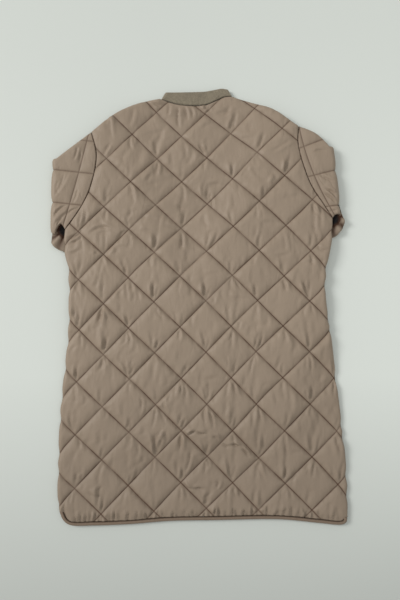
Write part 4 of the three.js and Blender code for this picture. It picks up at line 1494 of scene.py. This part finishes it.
@dataclass
class Sleeve:
    """One sleeve: a quilted tube, flattened, and turned back under the body about an upright fold."""

    side: SleeveSide
    cut: SleeveCut = SleeveCut()
    upper_columns: int = 150
    lower_columns: int = 72
    stub_rows: int = 60
    fold_rows: int = 16
    tail_rows: int = 76
    seam_radius: float = 2.2
    edge_radius: float = 8.0
    pleat_height: float = 5.0

    def rows(self, thinned: bool) -> list[tuple[str, float]]:
        """List the rows along the sleeve: which stretch each is in, and how far along that."""
        step = 4 if thinned else 1
        stub, fold, tail = self.stub_rows // step, self.fold_rows // 2 if thinned else self.fold_rows, \
            self.tail_rows // step
        return ([("stub", k / stub) for k in range(stub + 1)]
                + [("fold", (k + 1) / fold) for k in range(fold)]
                + [("tail", (0.35 + 0.65 * (k + 1) / tail) * (k + 1) / tail) for k in range(tail)])

    def build_skin(self, is_inner: bool) -> tuple[bmesh.types.BMesh, Points, Values]:
        """Shape one skin of the tube from a grid.

        Args:
            is_inner: whether it is the inside of the tube.

        Returns:
            The mesh, each vertex's place on the flat cut piece, and its painted shade in grooves, at the seam and
            under the arm.
        """
        rows = self.rows(is_inner)
        columns = self.upper_columns + self.lower_columns
        bm, row, column = grid(len(rows) - 1, columns)
        is_upper = column <= self.upper_columns
        t = np.where(is_upper, column / self.upper_columns,
                     1 - (column - self.upper_columns) / self.lower_columns)
        edge_share = np.minimum(t, 1 - t)
        if is_inner:
            t = mix(0.04, 0.96, t)
        seam_line = offset(curve_through(self.side.armhole, self.upper_columns), self.side.outward * SEAM_GAP)
        stops = np.linspace(0, 1, len(seam_line))
        seam = np.stack([np.interp(t, stops, seam_line[:, axis]) for axis in (0, 1)], axis=1)
        fold = mix(self.side.fold_top, self.side.shown_bottom, t[:, None])
        fold_run = self.side.fold_top - self.side.shown_bottom
        fold_run = fold_run / np.linalg.norm(fold_run)
        outward = self.side.outward * np.array([fold_run[1], -fold_run[0]])
        place, lattice = np.zeros((len(t), 2)), np.zeros((len(t), 2))
        turn, along, fade = np.zeros(len(t)), np.zeros(len(t)), np.zeros(len(t))
        for number, (stretch, share) in enumerate(rows):
            here = row == number
            if stretch == "stub":
                spread, low = math.sin(math.pi * share), t[here, None]
                place[here] = (mix(seam[here], fold[here], share) + spread * (1 - low) ** 3 * self.side.crown_swell
                               + spread * low ** 5 * np.array([0.0, self.side.underarm_rise]))
                lattice[here], fade[here] = place[here], 1.0
                along[here] = -np.linalg.norm(place[here] - fold[here], axis=1)
            elif stretch == "fold":
                place[here], turn[here] = fold[here], share * math.pi
                along[here] = share * math.pi * self.cut.fold_level / 2
                lattice[here] = fold[here] + outward * along[here][:, None]
                fade[here] = 1.0
            else:
                over, under = self.cut.shown_line(self.side, share * self.cut.tail_length)
                place[here], turn[here] = mix(over, under, t[here][:, None]), math.pi
                along[here] = share * self.cut.tail_length + 16
                fade[here] = -float(smooth(share / 0.04))
        width = np.linalg.norm(self.side.fold_top - self.side.fold_bottom)
        across = (t - 0.5) * width
        groove = self.groove(lattice, along, across, fade)
        from_seam = np.where(fade > 0, np.linalg.norm(place - seam, axis=1), 99.0)
        from_seam[turn > 0] = 99.0
        from_side = edge_share * width
        creased = np.where(turn == 0, crease_field(place, SLEEVE_FOLDS[self.side.name]) * 1.7
                           + 0.5 * curled_creases(place, 51, 34, 1.8) + 0.25 * soft_waves(place, 52, 30), 0.0)
        height = self.heights(is_upper, is_inner, groove, from_seam, from_side, creased)
        raised, painted_underarm_shade = self.underarm(place, turn)
        reach = (height + self.cut.fold_play) * np.sin(turn)
        level = self.cut.fold_level + (height + self.cut.fold_play) * np.cos(turn) + raised
        put(list(bm.verts), np.column_stack([place + outward * reach[:, None], level]))
        flat = np.stack([np.where(is_upper, across, 400 - across), along], axis=1)
        # Painted shade: the quilt grooves and the armhole seam on the upper side, the hollow and pleats on the
        # part folded under
        depth = np.where(is_upper, np.maximum(groove, edge_shade(place) * np.exp(-(from_seam / 1.0) ** 2)), painted_underarm_shade)
        return bm, flat, depth

    def underarm(self, place: Points, turn: Values) -> tuple[Values, Values]:
        """Pleat the part of the folded sleeve that peeps out below the armhole.

        Args:
            place: points in mm.
            turn: how far each has gone round the fold, in radians.

        Returns:
            How far each point is raised in mm, and the painted shade in the hollow under the arm and down the
            pleats.
        """
        side = self.side
        hub, (x, y) = side.armhole[-1], place.T
        beyond = side.outward * (x - np.interp(-y, -side.seam[:, 1], side.seam[:, 0]))
        share = np.clip(side.outward * (x - hub[0]) / abs(side.shown_bottom[0] - hub[0]), 0, 1)
        border = mix(hub[1], side.shown_bottom[1], share) + 0.8 * side.underarm_rise * np.sin(math.pi * share)
        away = np.hypot(x - hub[0], y - hub[1])
        angle = np.arctan2(hub[1] - y, side.outward * (x - hub[0]))
        pleat = 0.5 + 0.5 * np.cos(side.pleats * angle + math.radians(side.pleat_start))
        shown = (turn / math.pi) * (1 - smooth((away - 55) / 30))
        raised = (self.pleat_height * pleat * shown * smooth((border - y - 1) / 7) * smooth((beyond - 1) / 5)
                  * smooth(away / 12))
        # Painted shade: near black in the hollow under the arm, and dark down each pleat
        painted_hole_shade = 2 * (1 - smooth((away - 9) / 13))
        painted_valley_shade = 1.5 * (1 - pleat) ** 1.5 * (1 - 0.6 * smooth(away / 42))
        return raised, shown * np.maximum(painted_hole_shade, painted_valley_shade)

    def groove(self, lattice: Points, along: Values, across: Values, fade: Values) -> Values:
        """Work out the painted shade down in the sleeve's quilt lines.

        Args:
            lattice: points in mm where the stub's own lines hold.
            along: distance along the tail.
            across: distance across the tail.
            fade: above 0 on the stub, below 0 on the tail.

        Returns:
            Values from 0 to 1.
        """
        side, pitch = self.side, self.cut.pitch
        x, y = lattice[:, 0], lattice[:, 1]
        beside, rise = x - side.steep_x, y - side.level_y
        level = (rise - side.level_slope * beside) / (pitch + side.level_fan * beside)
        steep = (beside - side.steep_slope * rise - side.steep_bend * rise * rise) / pitch
        tail_p = (along + across) / math.sqrt(2) / pitch
        tail_q = (along - across) / math.sqrt(2) / pitch
        on_stub = fade > 0
        first = np.where(on_stub, level, tail_p)
        second = np.where(on_stub, steep, tail_q)
        self.close = np.minimum(np.abs(first - np.round(first)), np.abs(second - np.round(second))) * pitch
        self.pillow = (np.clip(np.abs(first - np.round(first)) * pitch / 24, 0, 1),
                       np.clip(np.abs(second - np.round(second)) * pitch / 24, 0, 1))
        return np.clip(0.6 * np.exp(-(self.close / 0.95) ** 2) + 0.07 * np.exp(-(self.close / 4.0) ** 2),
                       0, 1) * np.abs(fade)

    def heights(self, is_upper: np.ndarray, is_inner: bool, groove: Values, from_seam: Values,
                from_side: Values, creased: Values) -> Values:
        """Work out how far each point stands off the fold side of the flattened sleeve.

        Args:
            is_upper: which points are on the quilted side that shows.
            is_inner: whether this is the inside of the tube.
            groove: the painted shade in a quilt line, from 0 to 1; not used.
            from_seam: distance to the armhole seam.
            from_side: distance to the sleeve's folded edges.
            creased: how far the creases raise or lower the cloth.

        Returns:
            Heights in mm.
        """
        cut = self.cut
        middle = cut.lower_wall + cut.hollow / 2
        closing = np.clip(from_side / self.edge_radius, 0, 1)
        bulge = np.sqrt(1 - (1 - closing) ** 2)
        if is_inner:
            return middle + np.where(is_upper, 1, -1) * cut.hollow / 2 * np.clip(from_side / 6, 0, 1)
        inner = cut.lower_wall + cut.hollow
        pillow = (1 - (1 - self.pillow[0]) ** 2.4) * (1 - (1 - self.pillow[1]) ** 2.4)
        wall = mix(cut.stitched_wall, cut.puff_top - inner, pillow) - 0.7 * np.exp(-(self.close / 1.2) ** 2)
        wall = (wall + creased * (0.25 + 0.75 * smooth(self.close / 6))) * (
            1 - 0.4 * np.exp(-(from_seam / 8) ** 2))
        seam_rise = np.sqrt(1 - (1 - np.clip(from_seam / self.seam_radius, 0, 1)) ** 2)
        top = inner + np.maximum(0.8, wall * seam_rise)
        return np.where(is_upper, mix(middle, top, bulge), middle * (1 - bulge))

    def build(self) -> list[bpy.types.Object]:
        """Build the sleeve as a tube of quilted cloth, open at its cuff."""
        bm, flat, depth = self.build_skin(False)
        outer_count = len(bm.verts)
        inner, inner_flat, inner_depth = self.build_skin(True)
        spare = bpy.data.meshes.new("sleeve_inside")
        inner.to_mesh(spare)
        inner.free()
        bm.from_mesh(spare)
        bpy.data.meshes.remove(spare)
        cut_x, cut_y = bm.verts.layers.float.new("cut_x"), bm.verts.layers.float.new("cut_y")
        # The painted shade of each vertex goes along on a layer while the two skins are joined
        deep = bm.verts.layers.float.new("deep")
        for vert, (x, y), value in zip(bm.verts, np.vstack([flat, inner_flat]), [*depth, *inner_depth]):
            vert[cut_x], vert[cut_y], vert[deep] = x, y, value
        bmesh.ops.remove_doubles(bm, verts=[vert for vert in bm.verts if vert.is_boundary], dist=0.01)
        ends = [edge for edge in bm.edges if edge.is_boundary]
        cuff = [edge for edge in ends if edge.verts[0].co.z < 10.5]
        rim = [edge for edge in ends if edge.verts[0].co.z >= 10.5]
        for loop in (rim, cuff):
            bmesh.ops.bridge_loops(bm, edges=loop)
        bmesh.ops.recalc_face_normals(bm, faces=bm.faces)
        cut = np.array([(vert[cut_x], vert[cut_y]) for vert in bm.verts])
        groove = np.array([vert[deep] for vert in bm.verts])
        LOG.info("sleeve_%s: %d points outside", self.side.name, outer_count)
        node = f"sleeve_{self.side.name}"
        piece = make_object(f"{node}_cloth", bm, Finish.SHELL, cut, groove)
        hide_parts(node)
        return [piece]


@dataclass
class Collar:
    """A rib-knit band, folded double, round the neck and open at the centre front."""

    thickness: float = 3.4
    back_level: float = 6.6
    front_level: float = 2.2
    rib_pitch: float = 2.4
    rib_depth: float = 0.8
    ends: tuple[float, float] = (-71.0, 67.5)
    top: Points = field(default_factory=lambda: points(
        (58.5, 437.5), (50, 438.8), (35, 436.2), (16, 432.8), (1, 432), (-39, 431), (-62.5, 430.8)))
    front_top: Points = field(default_factory=lambda: points(
        (58.5, 437.5), (42, 397), (21, 375), (-3, 369), (-28, 374), (-50, 394), (-62.5, 430.8)))

    def sections(self) -> tuple[Points, Points, Values, Points]:
        """Set out the sections round the neck, from the right front to the left front.

        Returns:
            The seam point, top point and height of each, and the way that its outside faces.
        """
        back_count, front_count, turn_count = 380, 150, 12
        neck = curve_through(BODY.neck, spacing=0.5)
        neck = spaced(neck[(neck[:, 0] > self.ends[0]) & (neck[:, 0] < self.ends[1])], back_count)
        seam = offset(neck, -SEAM_GAP)
        top = curve_through(self.top, back_count)
        front_neck = np.vstack([neck[:1], BODY.front_neck[1:-1], neck[-1:]])
        front_seam = offset(curve_through(front_neck, 2 * front_count), -SEAM_GAP)
        front_top = curve_through(self.front_top, 2 * front_count)
        right_seam, left_seam = front_seam[:front_count + 1][::-1], front_seam[front_count:][::-1]
        right_top, left_top = front_top[:front_count + 1][::-1], front_top[front_count:][::-1]
        middle = (self.back_level + self.front_level) / 2
        radius = (self.back_level - self.front_level) / 2

        def turn(seam_end: Points, top_end: Points, outward: int) -> tuple[Points, Points, Values, Points]:
            """Carry the band round a shoulder, from the back's level to the front's."""
            angle = np.linspace(0, math.pi, turn_count + 2)[1:-1]
            reach = np.stack([outward * radius * np.sin(angle), 0 * angle], axis=1)
            face = np.stack([outward * np.sin(angle), np.cos(angle)], axis=1)
            return seam_end + reach, top_end + reach, middle + radius * np.cos(angle), face

        def flat(seam_line: Points, top_line: Points, level: float, facing: int) -> tuple[Points, Points, Values, Points]:
            """Keep the band flat at one level."""
            count = len(seam_line)
            return seam_line, top_line, np.full(count, level), np.tile([0.0, facing], (count, 1))

        right_turn = tuple(part[::-1] for part in turn(seam[0], top[0], 1))
        parts = (flat(right_seam + (SEAM_GAP, 0) * (np.arange(len(right_seam)) == 0)[:, None],
                      right_top, self.front_level, -1), right_turn,
                 flat(seam, top, self.back_level, 1), turn(seam[-1], top[-1], -1),
                 flat(left_seam, left_top, self.front_level, -1))
        return tuple(np.concatenate([part[k] for part in parts]) for k in range(4))

    def profile(self) -> tuple[Values, Values, Values]:
        """Give the band's section: share of its height, distance out, and whether ribs show there."""
        half = self.thickness / 2
        face = np.linspace(0.0, 0.94, 12)
        cap = np.linspace(math.pi / 2, -math.pi / 2, 7)
        share = np.concatenate([face, 0.94 + 0.06 * np.cos(cap[1:-1]), face[::-1]])
        out = np.concatenate([np.full(12, half), half * np.sin(cap[1:-1]), np.full(12, -half)])
        ribbed = np.concatenate([np.ones(12), np.sin(cap[1:-1]), -np.ones(12)])
        return share, out, ribbed

    def build(self) -> list[bpy.types.Object]:
        """Build the band."""
        seam, top, level, face = self.sections()
        share, out, ribbed = self.profile()
        count = len(share)
        bm, row, column = grid(len(seam) - 1, count)
        column = column % count
        middle_line = (seam + top) / 2
        travelled = np.concatenate([[0], np.cumsum(np.linalg.norm(np.diff(
            np.column_stack([middle_line, level]), axis=0), axis=1))])
        wave = 0.5 + 0.5 * np.cos(2 * math.pi * travelled / self.rib_pitch)
        sag = 0.35 * np.sin(travelled / 17.0) + 0.25 * np.sin(travelled / 7.3 + 1)
        base = mix(seam[row], top[row], share[column][:, None])
        edge_taper = 1 - 0.35 * np.exp(-(share[column] / 0.08) ** 2)
        away = (out[column] * edge_taper + self.rib_depth * wave[row] * ribbed[column]
                + sag[row] * np.sin(math.pi * np.clip(share[column], 0, 1)) * 0.6)
        where = np.column_stack([base[:, 0] + face[row, 0] * away, base[:, 1], level[row] + face[row, 1] * away])
        put(list(bm.verts), where)
        flat = np.stack([travelled[row], share[column] * 34 + 40 * (ribbed[column] < 0)], axis=1)
        # Painted shade between the ribs and along the band's seam edge
        painted_valley_shade = (1 - wave[row]) * 0.6 + 0.2 * np.exp(-(share[column] / 0.05) ** 2)
        order_x, order_y = bm.verts.layers.float.new("cut_x"), bm.verts.layers.float.new("cut_y")
        deep = bm.verts.layers.float.new("deep")
        for vert, (x, y), value in zip(bm.verts, flat, np.clip(painted_valley_shade, 0, 1)):
            vert[order_x], vert[order_y], vert[deep] = x, y, value
        bmesh.ops.remove_doubles(bm, verts=[vert for vert in bm.verts if vert.is_boundary], dist=0.001)
        bmesh.ops.holes_fill(bm, edges=[edge for edge in bm.edges if edge.is_boundary], sides=0)
        bmesh.ops.recalc_face_normals(bm, faces=bm.faces)
        cut = np.array([(vert[order_x], vert[order_y]) for vert in bm.verts])
        groove = np.array([vert[deep] for vert in bm.verts])
        piece = make_object("collar_band", bm, Finish.RIB, cut, groove)
        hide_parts("collar")
        return [piece]


@dataclass
class Binding:
    """A narrow folded strip sewn over a raw edge."""

    node: str
    path: Points
    inward: int
    section: Points
    level: float
    seed: int = 1
    stitch_inward: float = 5.2
    faces_down: bool = False

    def build(self) -> list[bpy.types.Object]:
        """Build the strip and the row of stitches that holds it."""
        path = spaced(self.path, int(np.linalg.norm(np.diff(self.path, axis=0), axis=1).sum() / 1.6))
        travelled = np.arange(len(path)) * 1.6
        section = self.rounded_section()
        count = len(section)
        bm, row, column = grid(len(path) - 1, count)
        column = column % count
        dice = np.random.default_rng(self.seed)
        puckers = sum(np.sin(travelled / length + dice.uniform(0, 6)) for length in (1.9, 3.1, 4.7, 8.0)) / 4
        along = directions(path)
        side_way = np.stack([-along[:, 1], along[:, 0]], axis=1) * self.inward
        depth = section[column, 0]
        where = path[row] + side_way[row] * depth[:, None]
        swell = 0.35 * puckers[row] * np.sin(math.pi * np.clip(depth / BINDING_WIDTH, 0, 1))
        face = section[column, 1]
        outer = (face > 1.5) if not self.faces_down else (face < 2.5)
        height = BODY.lift_at(where) + self.level + face + swell * outer * (-1 if self.faces_down else 1)
        if self.faces_down:
            sewn = 0.8 * np.exp(-((depth - self.stitch_inward) / 0.8) ** 2) * outer
            height = np.maximum(height, BODY.lift_at(where)) + sewn
        put(list(bm.verts), np.column_stack([where, height]))
        flat = np.stack([travelled[row], column / count * 24], axis=1)
        # Painted shade along the tape's seam with the panel and along its row of stitching, faint at the hem's two
        # corners
        fold = np.exp(-((depth - BINDING_WIDTH) / 0.8) ** 2) * 0.7 + 0.35 * np.exp(
            -((depth - self.stitch_inward) / 0.6) ** 2)
        if not self.faces_down:
            fold *= 0.25 + 0.75 * smooth((where[:, 0] + 264) / 8) * smooth((288 - where[:, 0]) / 8)
        order_x, order_y = bm.verts.layers.float.new("cut_x"), bm.verts.layers.float.new("cut_y")
        deep = bm.verts.layers.float.new("deep")
        for vert, (x, y), value in zip(bm.verts, flat, fold):
            vert[order_x], vert[order_y], vert[deep] = x, y, value
        bmesh.ops.remove_doubles(bm, verts=[vert for vert in bm.verts if vert.is_boundary], dist=0.0005)
        bmesh.ops.holes_fill(bm, edges=[edge for edge in bm.edges if edge.is_boundary], sides=0)
        bmesh.ops.recalc_face_normals(bm, faces=bm.faces)
        cut = np.array([(vert[order_x], vert[order_y]) for vert in bm.verts])
        groove = np.array([vert[deep] for vert in bm.verts])
        piece = make_object(f"{self.node}_tape", bm, Finish.BINDING, cut, groove)
        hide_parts(self.node)
        line = path + side_way * self.stitch_inward
        if self.faces_down:
            top = BODY.lift_at(line) + self.level + self.section[:, 1].min() + 0.45
        else:
            top = BODY.lift_at(line) + self.level + np.interp(
                self.stitch_inward, [2, 5, 7], [3.6, 4.1, 3.0]) + 0.12
        stitcher = Stitcher(length=2.4, pitch=3.2, radius=0.26, facing=-1 if self.faces_down else 1)
        stitcher.sew(np.column_stack([line, top])[2:-2])
        threads = stitcher.piece(f"{self.node}_thread")
        return [piece, threads]

    def rounded_section(self) -> Points:
        """Round the corners of the strip's section and close it with even points."""
        corners = np.vstack([self.section, self.section[:1]])
        dense = spaced(corners, 40)[:-1]
        for _ in range(2):
            dense = (np.roll(dense, 1, axis=0) + 2 * dense + np.roll(dense, -1, axis=0)) / 4
        return spaced(np.vstack([dense, dense[:1]]), 16)[:-1]


BACK_SECTION = points((0, 0), (7, 0), (7, 3), (5, 4.1), (2, 3.6), (0.4, 2))
FRONT_SECTION = points((0, 4.2), (0.4, 1.8), (2, 0), (6, 0), (7, 1.2), (7, 4.2))


@dataclass
class Studio:
    """The floor, the soft lights and the camera above the jacket."""

    centre: tuple[float, float, float] = (5.08, 1.52, 10.0)
    distance: float = 1166.0
    tilt: float = 4.5
    lens: float = 35.0
    key_power: float = 280.0
    sky: float = 0.5

    def build(self) -> None:
        """Set out the whole studio."""
        self.floor()
        self.light("key_light", (-5.4, 2.0, 4.2), 2.6, self.key_power, (1.0, 0.99, 0.975))
        self.light("fill_light", (0.5, 0.1, 2.6), 2.2, 8.0, (0.94, 0.98, 1.0))
        world = bpy.data.worlds.new("soft_sky")
        world.use_nodes = True
        background = world.node_tree.nodes["Background"]
        background.inputs["Color"].default_value = (0.975, 0.975, 0.945, 1.0)
        background.inputs["Strength"].default_value = self.sky
        bpy.context.scene.world = world
        bpy.context.scene.view_settings.view_transform = "Standard"
        bpy.context.scene.view_settings.look = "None"
        self.camera()

    def floor(self) -> None:
        """Lay the pale floor."""
        bm = bmesh.new()
        bmesh.ops.create_grid(bm, x_segments=2, y_segments=2, size=3000.0)
        bmesh.ops.translate(bm, vec=(0, 0, -0.6), verts=bm.verts)
        make_object("floor", bm, Finish.FLOOR)

    def light(self, name: str, place: tuple[float, float, float], size: float, power: float,
              colour: tuple[float, float, float]) -> None:
        """Hang one soft square light that points at the jacket.

        Args:
            name: the light's name.
            place: where it hangs, in metres.
            size: length of its side in metres.
            power: its strength in watts.
            colour: its tint.
        """
        lamp = bpy.data.lights.new(name, "AREA")
        lamp.shape, lamp.size, lamp.energy, lamp.color = "SQUARE", size, power, colour
        holder = bpy.data.objects.new(name, lamp)
        holder.location = place
        holder.rotation_euler = (-Vector(place)).to_track_quat("-Z", "Y").to_euler()
        bpy.context.scene.collection.objects.link(holder)

    def camera(self) -> None:
        """Set the camera above the jacket, a little towards the hem."""
        view = bpy.data.cameras.new("camera")
        view.lens, view.sensor_width, view.clip_start = self.lens, 36.0, 0.05
        holder = bpy.data.objects.new("camera", view)
        lean = math.radians(self.tilt)
        centre = Vector(self.centre) * METRES
        away = Vector((0, -math.sin(lean), math.cos(lean))) * self.distance * METRES
        holder.location = centre + away
        holder.rotation_euler = (lean, 0, 0)
        bpy.context.scene.collection.objects.link(holder)
        bpy.context.scene.camera = holder


def main() -> None:
    """Build the jacket and its studio."""
    logging.basicConfig(level=logging.INFO, format="%(message)s")
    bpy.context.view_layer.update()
    pieces = Back().build()
    for side in SIDES:
        pieces += Front(side).build()
        pieces += Sleeve(side).build()
        pieces += Binding(f"front_binding_{side.name}", BODY.front_bound_edge(side), -side.outward,
                          FRONT_SECTION, 0.0, seed=5 + side.outward, faces_down=True).build()
    pieces += Collar().build()
    pieces += Binding("hem_binding_back", BODY.hem_line(), 1, BACK_SECTION, INSIDE_LEVEL, seed=9,
                      stitch_inward=6.2).build()
    for piece in pieces:
        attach(piece, "root")
    Studio().build()


if __name__ == "__main__":
    main()
